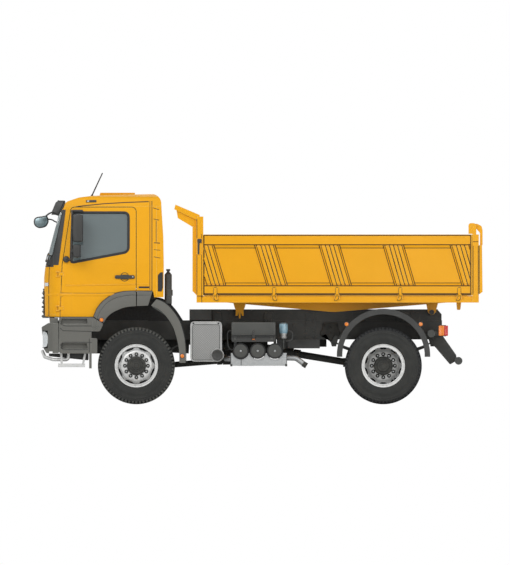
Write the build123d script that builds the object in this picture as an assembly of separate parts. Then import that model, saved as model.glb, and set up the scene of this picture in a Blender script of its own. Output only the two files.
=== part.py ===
"""Two-axle 4x4 tipper lorry with a tilting cab and a drop-side tipping bed.

Millimetres. +X is forward, +Y is the left side, +Z is up. The origin is on the ground, below the
middle of the lorry's length and width. Every piece is built on the left or in the middle, and
mirrored to the right where the lorry has a pair.
"""
import os
from build123d import *

# ---------------------------------------------------------------- driving dimensions
# axles and wheels
WHEELBASE = 3600
FRONT_AXLE_X = 1774
REAR_AXLE_X = FRONT_AXLE_X - WHEELBASE
HUB_Z = 562
TYRE_R = 562
TYRE_HALF = 157
TYRE_SEAT_R = 288
RIM_HALF = 120
RIM_FLANGE_R = 316
RIM_WALL = 18
DISC_FACE = 173          # wheel centre to the disc's mounting face
DISC_WALL = 12
FRONT_TRACK_HALF = 1020
TWIN_MIDDLE_Y = 905
TWIN_Y = (TWIN_MIDDLE_Y + DISC_FACE, TWIN_MIDDLE_Y - DISC_FACE)
FRONT_HUB_R = 133
REAR_HUB_R = 138
DRUM_R = 205
KINGPIN_Y = 905
KINGPIN_R = 20
SPINDLE_R = 38
REAR_SPINDLE_R = 50
RUNNING_FIT = 0.05
STEER_ARM = 170          # kingpin to tie rod, straight back
TIE_ROD_Z = 436

# frame
RAIL_OUT_Y = 430
RAIL_FLANGE = 78
RAIL_WALL = 9
RAIL_Z = (945, 1225)
RAIL_X = (-2682, 2930)
TOW_FLANGE = (-2640, 1090)   # x, z of the towing flange on the last cross member
TOW_BORE_R = 42
TOW_HOLE_R = 10.5
TOW_SPACING = (160, 100)
SUB_Z = (1225, 1385)
SUB_Y = (362, 428)

# cab
CAB_HALF = 1200
CAB_WALL = 38
CAB_BOTTOM_Z = 1277
CAB_PIVOT = (3004, 1100)
CAB_PIN_R = 20
CAB_LUG_Y = (348, 378)
DOOR_GAP = 9
DOOR_HINGE = (2902, 1180)   # x, y of the door's upright hinge line
DOOR_HINGE_Z = (1400, 1900)
DOOR_PIN_R = 7
DOOR_TOP_Z = 2880
DOOR_REAR_X = 1772
GLASS_OUT = 14
GLASS_WALL = 6
ARCH_OUT_Y = 1240
MIRROR_OUT_Y = 1500
LENGTH_HALF = 3274

# bed
BED_HALF = 1250
BED_FRONT_X = 897
BED_REAR_X = -3219
BED_FRAME_Z = (1483, 1576)
FLOOR_PLATE_X = (-3050, 780)   # wear plate on the floor
FLOOR_PLATE_Y = 1155
WALL_TOP_Z = 2476
WALL_BOTTOM_Z = 1582
WALL_INNER_Y = 1204
WALL_X = (-3116, 792)
WALL_HINGE = (1266, 1592)   # y, z of a drop side's hinge line
WALL_HINGE_X = (623, -234, -1153, -2073, -2933)
WALL_PIN_R = 6
POST_REAR_X = (BED_REAR_X, -3122)
TIP_PIN = (-2533, 1343)
TIP_PIN_R = 36
GATE_PIN = (-3118, 2594)
GATE_PIN_R = 14
GATE_X = (-LENGTH_HALF, -3229)

# x, z and inner y of the side lamps on the rear wings and front mudguards
SIDE_LAMPS = ((-1291, 1168, ARCH_OUT_Y), (-2372, 1168, ARCH_OUT_Y), (1105, 704, 1230))

# hoist
HOIST_PIN = (-900, 1290)
HOIST_EYE_Z = 1446
HOIST_R = (98, 84, 70, 56)
HOIST_BOTTOM_Z = 838


# ---------------------------------------------------------------- shaping helpers
def outline(points, radii=0):
    """Closed face through the points, its corners rounded by one radius or one radius each."""
    if radii == 0:
        return make_face(Polyline(*points, close=True))
    return make_face(FilletPolyline(*points, radius=radii, close=True))


def across(face, y0, y1):
    """Side-view face (x, z) made solid from y0 to y1."""
    return extrude(Plane.XZ.offset(-y1) * face, y1 - y0)


def along(face, x0, x1):
    """Front-view face (y, z) made solid from x0 to x1."""
    return extrude(Plane.YZ.offset(x0) * face, x1 - x0)


def upright(face, z0, z1):
    """Plan-view face (x, y) made solid from z0 to z1."""
    return extrude(Plane.XY.offset(z0) * face, z1 - z0)


def block(x, y, z):
    """Box between two values on each axis."""
    size = Box(abs(x[1] - x[0]), abs(y[1] - y[0]), abs(z[1] - z[0]))
    return Pos((x[0] + x[1]) / 2, (y[0] + y[1]) / 2, (z[0] + z[1]) / 2) * size


def rod(start, end, radius):
    """Round bar between two points."""
    start, end = Vector(*start), Vector(*end)
    return extrude(Plane(start, z_dir=end - start) * Circle(radius), (end - start).length)


def cross_rod(x, z, radius, y0, y1):
    """Round bar that lies across the lorry."""
    return rod((x, y0, z), (x, y1, z), radius)


def bent_bar(points, radius, bend):
    """Round bar along straight runs joined by bends."""
    path = FilletPolyline(*points, radius=bend)
    start = Vector(*points[0])
    return sweep(Plane(start, z_dir=Vector(*points[1]) - start) * Circle(radius), path=path)


def turned(points, x, y, z):
    """Piece turned about a cross line at (x, y, z) from a half section of (radius, offset) points."""
    return Pos(x, y, z) * revolve(outline(points), Axis.Y)


def group(*shapes):
    """Solids that share a node."""
    return Compound([solid for shape in shapes for solid in shape.solids()])


def right(shape):
    """The same piece on the other side."""
    return mirror(shape, about=Plane.XZ)


def pair(shape):
    """Left and right pieces in one node."""
    return group(shape, right(shape))


NODES = {}


def node(name, shape):
    """Keep a piece under its node's name."""
    NODES[name] = shape


# ---------------------------------------------------------------- wheels
def tyre(x, y):
    """Tyre out to its tread's tips."""
    # radius, offset
    half = ((TYRE_SEAT_R, 106.5), (RIM_FLANGE_R + 0.5, 106.5), (330, 138), (400, TYRE_HALF), (500, 153),
            (545, 138), (TYRE_R, 112))
    section = list(half) + [(r, -offset) for r, offset in reversed(half)]
    return turned(section, x, y, HUB_Z)


def rim(x, y, side):
    """Rim and dished disc; side is +1 where the disc bulges outward and -1 where it bulges inward."""
    seat = TYRE_SEAT_R
    inner = seat - RIM_WALL
    ring = turned(((inner, -RIM_HALF), (RIM_FLANGE_R, -RIM_HALF), (RIM_FLANGE_R, -108), (seat, -107),
                   (seat, 107), (RIM_FLANGE_R, 108), (RIM_FLANGE_R, RIM_HALF), (inner, RIM_HALF)), x, y,
                   HUB_Z)
    # radius, offset of the disc's outer skin
    skin = ((inner + 1, 92), (240, 146), (206, DISC_FACE), (100, DISC_FACE))
    back = [(r, offset - DISC_WALL - (6 if r > 250 else 0)) for r, offset in reversed(skin)]
    disc = turned([(r, side * offset) for r, offset in list(skin) + back], x, y, HUB_Z)
    return ring + disc


def vents(x, count, radius, width, height, start):
    """Slots through a wheel disc, set evenly round the hub, all the way across the wheel."""
    slots = []
    for index in range(count):
        turn = start + 360 / count * index
        slot = extrude(Plane.XZ * SlotOverall(width, height), 3 * RIM_HALF, both=True)
        slots.append(Pos(x, 0, HUB_Z) * Rot(0, turn, 0) * Pos(0, 0, radius) * slot)
    return slots


def front_rim():
    x, y = FRONT_AXLE_X, FRONT_TRACK_HALF
    wheel = rim(x, y, 1)
    for slot in vents(x, 8, 241, 64, 18, 22.5):
        wheel -= Pos(0, y, 0) * slot
    hub = turned(((SPINDLE_R + RUNNING_FIT, -30), (DRUM_R, -30), (DRUM_R, 130), (FRONT_HUB_R, 161),
                  (FRONT_HUB_R, 195),
                  (118, 205), (62, 205), (58, 214), (0, 214), (0, 150), (SPINDLE_R + RUNNING_FIT, 150)), x,
                  y, HUB_Z)
    hub -= turned(((110, -31), (DRUM_R - 16, -31), (DRUM_R - 16, 110), (110, 110)), x, y, HUB_Z)
    return wheel + hub


def rear_rim():
    x = REAR_AXLE_X
    outer = rim(x, TWIN_Y[0], -1)
    inner = rim(x, TWIN_Y[1], 1)
    holes = vents(x, 10, 240, 58, 40, 18)
    for slot in holes:
        outer -= Pos(0, TWIN_Y[0], 0) * slot
    hub = turned(((REAR_SPINDLE_R + RUNNING_FIT, -255), (DRUM_R, -255), (DRUM_R, -45), (REAR_HUB_R, -12),
                  (REAR_HUB_R, 150), (120, 165), (88, 165), (82, 182), (0, 182), (0, -20),
                  (REAR_SPINDLE_R + RUNNING_FIT, -20)), x, TWIN_MIDDLE_Y, HUB_Z)
    hub -= turned(((115, -256), (DRUM_R - 16, -256), (DRUM_R - 16, -65), (115, -65)), x, TWIN_MIDDLE_Y, HUB_Z)
    return outer + inner + hub


def wheels():
    """Single front wheels and twin rear wheels."""
    front = (tyre(FRONT_AXLE_X, FRONT_TRACK_HALF), front_rim())
    twins = (group(*[tyre(REAR_AXLE_X, y) for y in TWIN_Y]), rear_rim())
    for place, (rubber, metal) in (("front", front), ("rear", twins)):
        node(f"tyre_{place}_left", rubber)
        node(f"rim_{place}_left", metal)
        node(f"tyre_{place}_right", right(rubber))
        node(f"rim_{place}_right", right(metal))


# ---------------------------------------------------------------- axles and steering
def knuckle():
    """Steering knuckle: fork, kingpin, spindle, brake plate and steering arm."""
    x, y, z = FRONT_AXLE_X, KINGPIN_Y, HUB_Z
    fork_z = (z - 128, z - 88)
    body = block((x - 58, x + 58), (y + 56, y + 78), (z - 128, z + 128))
    for low, high in (fork_z, (z + 88, z + 128)):
        body += upright(Pos(x, y) * Circle(50), low, high)
        body += block((x - 50, x + 50), (y, y + 60), (low, high))
    body += upright(Pos(x, y) * Circle(KINGPIN_R), z - 120, z + 120)
    body += cross_rod(x, z, 62, y + 70, y + 80)
    body += cross_rod(x, z, SPINDLE_R, y + 70, FRONT_TRACK_HALF + 140)
    arm = outline(((x - 30, y + 30), (x + 10, y - 40), (x - STEER_ARM - 24, y - 26),
                   (x - STEER_ARM - 24, y + 26)), 12)
    body += upright(arm, *fork_z)
    pin = (x - STEER_ARM, y)
    body += upright(Pos(*pin) * Circle(12), TIE_ROD_Z - 20, fork_z[0] + 10)
    return body


def tie_rod():
    """Track rod between the two steering arms."""
    x = FRONT_AXLE_X - STEER_ARM
    top = HUB_Z - 128 - 8
    bar = cross_rod(x, TIE_ROD_Z - 22, 17, -KINGPIN_Y + 20, KINGPIN_Y - 20)
    for y in (-KINGPIN_Y, KINGPIN_Y):
        eye = upright(Pos(x, y) * Circle(30), TIE_ROD_Z - 44, top)
        bar += eye - upright(Pos(x, y) * Circle(12 + RUNNING_FIT), TIE_ROD_Z - 60, top + 20)
    return bar


def front_axle():
    x, z = FRONT_AXLE_X, HUB_Z
    beam = cross_rod(x, z, 66, -KINGPIN_Y + 60, KINGPIN_Y - 60)
    for y in (-KINGPIN_Y, KINGPIN_Y):
        boss = upright(Pos(x, y) * Circle(46), z - 83, z + 83)
        beam += boss
        beam += block((x - 46, x + 46), (y - 60 if y > 0 else y, y if y > 0 else y + 60), (z - 66, z + 66))
        beam -= upright(Pos(x, y) * Circle(KINGPIN_R + RUNNING_FIT), z - 130, z + 130)
    bowl = turned(((0, -95), (120, -95), (160, -40), (160, 40), (120, 95), (0, 95)), x, -90, z)
    nose = rod((x - 120, -90, z + 8), (x - 330, -90, z + 8), 85)
    nose += rod((x - 300, -90, z + 8), (x - 420, -90, z + 8), 62)
    seats = [block((x - 90, x + 90), (y - 42, y + 42), (z + 20, z + 97)) for y in (-392, 392)]
    for seat in seats:
        beam += seat
    return beam + bowl + nose


def rear_axle():
    x, z = REAR_AXLE_X, HUB_Z
    beam = cross_rod(x, z, 82, -640, 640)
    beam += cross_rod(x, z, REAR_SPINDLE_R, -TWIN_MIDDLE_Y + 20, TWIN_MIDDLE_Y - 20)
    bowl = turned(((0, -120), (150, -120), (215, -50), (215, 50), (150, 120), (0, 120)), x, 0, z)
    nose = rod((x + 150, 0, z + 20), (x + 400, 0, z + 44), 105)
    nose += rod((x + 380, 0, z + 48), (x + 491, 0, z + 48), 66)
    for y in (-392, 392):
        beam += block((x - 100, x + 100), (y - 44, y + 44), (z + 20, z + 109))
    return beam + bowl + nose


def spring(x, low_z, eye_z, reach, packs):
    """Leaf spring and its hangers below a frame rail."""
    y0, y1 = 350, 428
    leaves = None
    for index in range(packs):
        span = reach * (1 - 0.17 * index)
        lift = (eye_z - low_z - 60) * (span / reach) ** 2
        z = low_z + 26 * (packs - 1 - index)
        edge = [(x - span, z + lift), (x, z), (x + span, z + lift)]
        top = [(x + span, z + lift + 25), (x, z + 25), (x - span, z + lift + 25)]
        bow = make_face([ThreePointArc(*edge), Line(edge[2], top[0]), ThreePointArc(*top),
                         Line(top[2], edge[0])])
        leaf = across(bow, y0, y1)
        leaves = leaf if leaves is None else leaves + leaf
    pad_z = low_z + 26 * packs
    clamp = block((x - 85, x + 85), (y0 - 6, y1 + 6), (low_z - 2, low_z + 12))
    clamp += block((x - 85, x + 85), (y0 - 6, y1 + 6), (pad_z, pad_z + 30))
    for dx in (-62, 62):
        for y in (y0 - 14, y1 + 14):
            clamp += rod((x + dx, y, low_z - 2), (x + dx, y, pad_z + 30), 11)
        clamp += block((x + dx - 14, x + dx + 14), (y0 - 20, y1 + 20), (pad_z + 16, pad_z + 30))
    hangers = None
    for end in (-1, 1):
        face = outline(((x + end * reach - 60, RAIL_Z[0]), (x + end * reach + 60, RAIL_Z[0]),
                        (x + end * reach + 30, eye_z - 62), (x + end * reach - 30, eye_z - 62)))
        hanger = across(face, y0, y1)
        hanger -= block((x + end * reach - 70, x + end * reach + 70), (y0 + 12, y1 - 12),
                        (eye_z - 100, eye_z - 10))
        hangers = hanger if hangers is None else hangers + hanger
    return leaves + clamp + hangers


def leaf_springs():
    """Front and rear springs, left and right, and the casting that carries each rear spring's front eye."""
    front = spring(FRONT_AXLE_X, HUB_Z + 99, 900, 640, 2)
    eye_z, reach = 905, 720
    rear = spring(REAR_AXLE_X, HUB_Z + 111, eye_z, reach, 3)
    x = REAR_AXLE_X + reach
    # half of the casting's face: distance from its middle, z
    half = ((0, 1088), (50, 1088), (100, 1145), (140, 1085), (60, 1010), (40, 892), (0, 892))
    face = outline([(x + dx, z) for dx, z in half] + [(x - dx, z) for dx, z in half[-2:0:-1]])
    rear += across(face, RAIL_OUT_Y, RAIL_OUT_Y + 16)
    rear += block((x - 28, x + 28), (427, RAIL_OUT_Y + 1), (eye_z - 10, RAIL_Z[0] - 3))
    return pair(group(front, rear))


# ---------------------------------------------------------------- frame and what it carries
def rail(y_out, wall, flange, z, x):
    """Channel-section rail open towards the middle."""
    web = block(x, (y_out - wall, y_out), z)
    top = block(x, (y_out - flange, y_out), (z[1] - wall, z[1]))
    low = block(x, (y_out - flange, y_out), (z[0], z[0] + wall))
    return web + top + low


def ladder_frame():
    """The two channel-section rails."""
    return pair(rail(RAIL_OUT_Y, RAIL_WALL, RAIL_FLANGE, RAIL_Z, RAIL_X))


def cross_members():
    """Cross members of the frame and of the tipper's subframe, with the cab's pivots on the first."""
    inner = RAIL_OUT_Y - RAIL_WALL
    top = RAIL_Z[1] - RAIL_WALL
    members = []
    # x of each cross member, its depth below the rail's top
    for x, depth in ((2880, 240), (940, 120), (-330, 110), (-1300, 200), (-2250, 200), (TOW_FLANGE[0], 240)):
        member = block((x - 35, x + 35), (-inner, inner), (top - 9, top))
        member += block((x - 35, x + 35), (-inner, inner), (top - depth, top - depth + 9))
        member += block((x - 5, x + 5), (-inner, inner), (top - depth, top))
        members.append(member)
    tow_x, tow_z = TOW_FLANGE
    members[-1] -= rod((tow_x - 60, 0, tow_z), (tow_x + 60, 0, tow_z), TOW_BORE_R)
    for dy in (-TOW_SPACING[0] / 2, TOW_SPACING[0] / 2):
        for dz in (-TOW_SPACING[1] / 2, TOW_SPACING[1] / 2):
            members[-1] -= rod((tow_x - 60, dy, tow_z + dz), (tow_x + 60, dy, tow_z + dz), TOW_HOLE_R)
    ear_face = outline(((2884, 990), (2884, 1180), (2960, 1180), (CAB_PIVOT[0] + 34, 1130),
                        (CAB_PIVOT[0] + 34, 1075),
                        (2960, 990)), (0, 0, 12, 12, 12, 12))
    pivot = cross_rod(*CAB_PIVOT, CAB_PIN_R, CAB_LUG_Y[0] - 34, CAB_LUG_Y[1] + 34)
    for y0, y1 in ((CAB_LUG_Y[0] - 28, CAB_LUG_Y[0] - 8), (CAB_LUG_Y[1] + 8, CAB_LUG_Y[1] + 28)):
        pivot += across(ear_face, y0, y1)
    members[0] += pivot + right(pivot)
    # x, half width and z range of each cross tube of the subframe
    for x, half, z0, z1 in ((930, 40, 1245, 1365), (100, 40, 1245, 1365), (-1750, 40, 1245, 1365),
                            (-2533, 60, 1250, 1300)):
        members.append(block((x - half, x + half), (-SUB_Y[0], SUB_Y[0]), (z0, z1)))
    # hoist cradle: two cross members and the trunnion blocks between them
    x, z = HOIST_PIN
    hoist_cradle = block((x - 180, x + 180), (122, 160), (z - 45, z + 50))
    hoist_cradle -= cross_rod(x, z, 26 + RUNNING_FIT, 115, 170)
    hoist_cradle += right(hoist_cradle)
    for side in (-1, 1):
        hoist_cradle += block((x + side * 190 - 25, x + side * 190 + 25), (-SUB_Y[0], SUB_Y[0]), (1290, 1370))
    return group(*members, hoist_cradle)


def tipper_subframe():
    """Subframe rails, their brackets and the pins that the bed tips on."""
    left = block((-2676, 1000), SUB_Y, SUB_Z)
    left -= block((-2690, 1010), (SUB_Y[0] + 8, SUB_Y[1] - 8), (SUB_Z[0] + 8, SUB_Z[1] - 8))
    cut = outline(((-2680, 1309), (-2680, 1390), (-2621, 1390), (-2621, 1376)))
    left -= across(cut, SUB_Y[0] - 5, SUB_Y[1] + 5)
    # brackets bolted to the frame's side: rear and front x
    for x0, x1 in ((536, 658), (-225, -103), (-838, -699), (-1500, -1380), (-2360, -2230)):
        left += block((x0, x1), (RAIL_OUT_Y, RAIL_OUT_Y + 12), (1120, 1340))
        left += block((x0 + 10, x1 - 10), (SUB_Y[1], RAIL_OUT_Y + 12), (1260, 1340))
    left += block((685, 999), (SUB_Y[1] - 1, 560), (1231, 1382))
    left += cross_rod(*TIP_PIN, TIP_PIN_R, SUB_Y[0], 575) + cross_rod(*TIP_PIN, 50, 429, 462)
    return pair(left)


def driveline():
    engine = block((1590, 2660), (-300, 300), (800, 1240))
    engine += block((1700, 2500), (-180, 180), (740, 810))
    gearbox = rod((1580, 0, 960), (1000, 0, 930), 190) + block((1380, 1620), (-270, 270), (720, 1200))
    gearbox += rod((1010, 0, 930), (480, 0, 880), 60)
    transfer = block((-140, 300), (-230, 230), (700, 1010)) + rod((280, 0, 880), (480, 0, 880), 90)
    transfer += rod((290, -90, 640), (515, -90, 637), 60) + block((60, 300), (-170, 0), (560, 720))
    transfer += rod((-130, 0, 780), (-517, 0, 742), 95)
    front_shaft = rod((500, -90, 637), (1320, -90, 571), 42)
    rear_shaft = rod((-500, 0, 743), (-1300, 0, 612), 50)
    joints = rod((-517, 0, 741), (-619, 0, 726), 66)
    joints += rod((-1240, 0, HUB_Z + 48), (REAR_AXLE_X + 491, 0, HUB_Z + 48), 66)
    joints += rod((525, -90, 636), (600, -90, 630), 56)
    joints += rod((1262, -90, HUB_Z + 8), (FRONT_AXLE_X - 420, -90, HUB_Z + 8), 56)
    inner = RAIL_OUT_Y - RAIL_WALL
    mounts = block((1800, 1900), (-inner, inner), (1000, 1060))
    mounts += block((2400, 2500), (-inner, inner), (1000, 1060))
    mounts += block((60, 140), (-inner, inner), (960, 1005))
    return engine + gearbox + transfer + front_shaft + rear_shaft + joints + mounts


def front_bumper():
    side = outline(((2911, 745), (2911, 1180), (3057, 1185), (3157, 1126), (3124, 808), (3085, 745)),
                   (5, 5, 18, 22, 30, 30))
    plan = outline(((2900, -ARCH_OUT_Y), (3000, -ARCH_OUT_Y), (3157, -1010), (3160, 0), (3157, 1010),
                    (3000, ARCH_OUT_Y),
                    (2900, ARCH_OUT_Y)), (0, 90, 160, 0, 160, 90, 0))
    wall = 10
    outer = across(side, -ARCH_OUT_Y, ARCH_OUT_Y) & upright(plan, 700, 1200)
    inner = across(offset(side, -wall), -ARCH_OUT_Y, ARCH_OUT_Y) & upright(offset(plan, -wall), 700, 1200)
    shell = outer - inner - block((2890, 2930), (-ARCH_OUT_Y + wall, ARCH_OUT_Y - wall), (700, 1200))
    shell -= block((2900, 3046), (-ARCH_OUT_Y + 12, ARCH_OUT_Y - 12), (700, 770))
    # open top over the cab's pivots
    shell -= block((2900, 3200), (-470, 470), (1110, 1200))
    for y in (-965, 965):
        pocket = block((3040, 3200), (y - 190, y + 190), (815, 1075))
        shell -= pocket
    shell -= block((3100, 3200), (-640, 640), (860, 985))
    for y in (-965, 965):
        shell += block((3054, 3066), (y - 195, y + 200), (748, 1180)) & outer
    # filler between the bumper and the cab, inside the sweep of the cab's lower front edge
    filler = block((2915, 3036), (560, 1180), (1140, 1260))
    shell += filler + right(filler)
    stay = block((2890, 3200), (452, 470), (800, 1080)) & outer
    stay += block((2890, 2925), (430, 470), (960, 1180))
    return shell + stay + right(stay)


def chassis_lamps():
    """Headlamps in the bumper, lamp clusters at the tail and side lamps on the arches."""
    side = outline(((3066, 830), (3066, 1062), (3144, 1062), (3134, 930), (3118, 830)), 14)
    plan = outline(((3050, 781), (3146, 781), (3146, 1010), (3062, 1149), (3050, 1149)), (0, 6, 70, 6, 0))
    head = across(side, 780, 1150) & upright(plan, 800, 1100)
    tail = block((-2767, -2700), (720, 1180), (995, 1150)) + block((-2705, -2636), (1130, 1180), (1000, 1146))
    # x, z, y of the side lamps
    sides = [cross_rod(x, z, 24, y, y + 9) for x, z, y in SIDE_LAMPS]
    return pair(group(head, tail, *sides))


def tube_guards():
    """Bar below the bumper and the hanging rungs below the step boxes."""
    bar = bent_bar([(2764, 1110, 741), (2764, 1110, 649), (2990, 1120, 652), (3110, 1020, 690),
                    (3142, 860, 770), (3142, 0, 770)], 24, 45)
    rung = block((2522, 2915), (1080, 1200), (541, 549))
    for y in (1080, 1192):
        rung += block((2522, 2915), (y, y + 8), (541, 595))
    for x_top, x_low in ((2870, 2860), (2520, 2560)):
        face = outline(((x_top - 16, 741), (x_top + 16, 741), (x_low + 16, 545), (x_low - 16, 545)))
        rung += across(face, 1130, 1142)
    return group(bar + right(bar), rung, right(rung))


def step_boxes():
    """Entry steps below the doors, with the strip that ends over the wheel."""
    inner_y = 870
    side = outline(((2902, 741), (2902, 1268), (2430, 1268), (2430, 800), (2457, 741)), (30, 20, 8, 20, 20))
    body = across(side, inner_y, ARCH_OUT_Y)
    body -= block((2440, 2892), (inner_y - 1, 1160), (751, 1258))
    # z range and depth of each step well
    for z0, z1, depth in ((1172, 1250, 180), (806, 893, 150)):
        well = across(outline(((2480, z0), (2880, z0), (2868, z1), (2492, z1)), 12), ARCH_OUT_Y - 60,
                      ARCH_OUT_Y + 10)
        body -= well
        body += block((2470, 2886), (ARCH_OUT_Y - depth, ARCH_OUT_Y - 12), (z0 - 8, z0 - 2))
    # lower front end of the wheel arch, clear of the door's part of the arch above it
    body += across(outline(((2408, 1267), (2436, 1267), (2436, 1063), (2311, 1063), (2275, 1130), (2262, 1162)),
                           (0, 0, 10, 20, 40, 4)), 1150, ARCH_OUT_Y)
    flap_face = outline(((2345, 745), (2345, 960), (2457, 968), (2457, 741)), (14, 20, 0, 0))
    flap = across(flap_face, ARCH_OUT_Y - 30, ARCH_OUT_Y - 1)
    flap += block((2425, 2463), (ARCH_OUT_Y - 30, ARCH_OUT_Y - 6), (523, 745))
    hanger = block((2600, 2680), (RAIL_OUT_Y, 1165), (1120, 1180))
    return pair(body + flap + hanger)


def front_mudguards():
    """Guard behind each front wheel, fixed to the frame."""
    outer = [(1488, 1521), (1290, 1375), (1120, 1121), (1059, 795), (1065, 602)]
    inner = [(1120, 602), (1146, 795), (1207, 1085), (1339, 1290), (1543, 1419)]
    skin = [(1106, 602), (1132, 795), (1194, 1090), (1330, 1303), (1536, 1434)]
    lip = across(outline(outer + inner, (0, 260, 500, 500, 0, 0, 420, 420, 240, 0)), 1204, 1230)
    plate = across(outline(skin + inner[::-1], (0, 430, 430, 250, 0, 0, 240, 420, 420, 0)), 900, 1230)
    stay = rod((1178, RAIL_OUT_Y, 1010), (1178, 904, 1010), 22)
    return pair(lip + plate + stay)


def wheel_housings():
    """Upright splash plates on the rails, between the engine and the front wheels."""
    y0, y1 = RAIL_OUT_Y - 8, RAIL_OUT_Y
    face = outline(((1345, RAIL_Z[1]), (1345, 1440), (1440, 1530), (2030, 1530), (2330, 1250),
                    (2330, RAIL_Z[1])),
                   (0, 60, 60, 60, 20, 0))
    plate = across(face, y0, y1)
    plate += block((1360, 2315), (y0 - 40, y0 + 2), (RAIL_Z[1], RAIL_Z[1] + 6))
    return pair(plate)


def fuel_tank():
    tank = across(outline(((527, 625), (986, 625), (986, 1206), (527, 1206)), 70), 520, 1190)
    tank += cross_rod(594, 717, 92, 1180, 1200) + cross_rod(594, 717, 76, 1180, 1222)
    for x in (630, 880):
        tank += block((x - 22, x + 22), (RAIL_OUT_Y, 530), (960, 1100))
    return tank


def equipment_boxes():
    """Battery box and its lid on the left, tool box on the right, low box between axle and frame."""
    base = across(outline(((-254, 910), (386, 910), (386, 985), (-254, 985)), (24, 24, 0, 0)), 560, 1168)
    lid = across(outline(((-254, 988), (386, 988), (386, 1196), (-254, 1196)), (0, 0, 26, 26)), 560, 1176)
    left = base + lid + block((20, 110), (RAIL_OUT_Y, 565), (1000, 1150))
    left += block((-200, 320), (700, 1000), (984, 990)) + block((50, 86), (1160, 1188), (965, 1015))
    low = block((-900, -430), (RAIL_OUT_Y - 70, RAIL_OUT_Y + 180), (815, RAIL_Z[0]))
    low += block((-431, -272), (RAIL_OUT_Y, RAIL_OUT_Y + 115), (815, RAIL_Z[0]))
    tool = across(outline(((-100, 700), (900, 700), (900, 1196), (-100, 1196)), 30), 560, 1160)
    tool += block((160, 640), (1155, 1170), (760, 1120)) + block((350, 450), (RAIL_OUT_Y, 565), (1000, 1150))
    return group(left, low, right(tool))


AIR_TANK_X = (254, 5, -246)
AIR_TANK_Z = 777


def air_tanks():
    """Three air tanks that lie across, and the air dryer behind them."""
    hung = []
    for x in AIR_TANK_X:
        tank = cross_rod(x, AIR_TANK_Z, 114, 560, 1150)
        tank = fillet(tank.edges().filter_by(GeomType.CIRCLE), 30)
        tank += block((x - 20, x + 20), (RAIL_OUT_Y, 700), (870, 905))
        tank += block((x - 20, x + 20), (RAIL_OUT_Y, 470), (870, 1000))
        hung.append(tank)
    x, y = -370, 1010
    dryer = rod((x, y, 1044), (x, y, 1184), 57) + rod((x, y, 962), (x, y, 1050), 44)
    dryer += rod((x, y, 800), (x, y, 970), 14)
    dryer += block((x - 25, x + 25), (RAIL_OUT_Y, y), (1160, 1190))
    return group(*hung, dryer)


def silencer():
    body = across(outline(((-422, 561), (403, 561), (403, 748), (-422, 748)), 14), 640, 1120)
    for x in AIR_TANK_X:
        body -= cross_rod(x, AIR_TANK_Z, 122, 600, 1160)
    body += bent_bar([(395, 880, 660), (470, 880, 660), (470, 480, 690)], 36, 60)
    body += bent_bar([(-415, 900, 676), (-555, 900, 672), (-690, 900, 572)], 38, 90)
    for x in (-330, 330):
        body += block((x - 20, x + 20), (RAIL_OUT_Y - 70, 660), (600, 640))
        body += block((x - 20, x + 20), (RAIL_OUT_Y - 70, RAIL_OUT_Y - 20), (600, RAIL_Z[0]))
    return body


def intake_stack():
    """Air intake on the left behind the cab: bottle-shaped riser, neck, collar and foot."""
    x, y = 1310, 1010
    riser = upright(Pos(x, y) * RectangleRounded(106, 200, 40), 1470, 1890)
    riser += loft([Plane.XY.offset(1889) * Pos(x, y) * RectangleRounded(106, 200, 40),
                   Plane.XY.offset(1925) * Pos(x, y) * RectangleRounded(52, 90, 20)])
    riser += upright(Pos(x, y) * RectangleRounded(40, 76, 16), 1920, 1948)
    riser += upright(Pos(x, y) * RectangleRounded(60, 100, 20), 1946, 1972)
    riser += upright(Pos(x - 10, y) * RectangleRounded(112, 216, 40), 1583, 1669)
    foot = block((x - 50, x - 10), (RAIL_OUT_Y - 60, y), (1470, 1500))
    foot += block((x - 50, x - 10), (RAIL_OUT_Y - 60, RAIL_OUT_Y - 20), (RAIL_Z[1], 1480))
    return riser + foot


def half_ring(x, z, r_out, r_in, low):
    """Half ring in side view, open below a level set from its centre."""
    return Pos(x, z) * (Circle(r_out) - Circle(r_in) - Pos(0, low - r_out) * Rectangle(3 * r_out, 2 * r_out))


def rear_wings():
    """Half-round guards over the twin wheels with a side lip."""
    x, z, r_out, r_in, low = -1829, 712, 681, 600, -20
    plate = across(half_ring(x, z, r_out, r_out - 9, low), 600, ARCH_OUT_Y)
    lip = across(half_ring(x, z, r_out, r_in, low), 1226, ARCH_OUT_Y)
    wing = plate + lip
    for lamp_x, lamp_z, y in SIDE_LAMPS[:2]:
        wing += cross_rod(lamp_x, lamp_z, 34, 1226, y)
    for dx in (-570, 570):
        wing += rod((x + dx, RAIL_OUT_Y, 1060), (x + dx, 1180, 1060), 20)
    return pair(wing)


def underrun_guard():
    """Tube across the tail on two arms, and the cross tubes that carry lamps and wings."""
    face = outline(((-2476, 1060), (-2500, 930), (-2799, 579), (-2900, 640), (-2889, 720), (-2699, 990), (-2676, 1060)),
                   (0, 60, 20, 0, 20, 60, 0))
    half = across(face, RAIL_OUT_Y, RAIL_OUT_Y + 16)
    half += cross_rod(-2526, 1031, 55, RAIL_OUT_Y + 10, 1185)
    for y in (760, 1100):
        half += block((-2700, -2540), (y, y + 14), (1000, 1060))
    bar = cross_rod(-2923, 634, 57, -1190, 1190)
    return bar + half + right(half)


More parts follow.
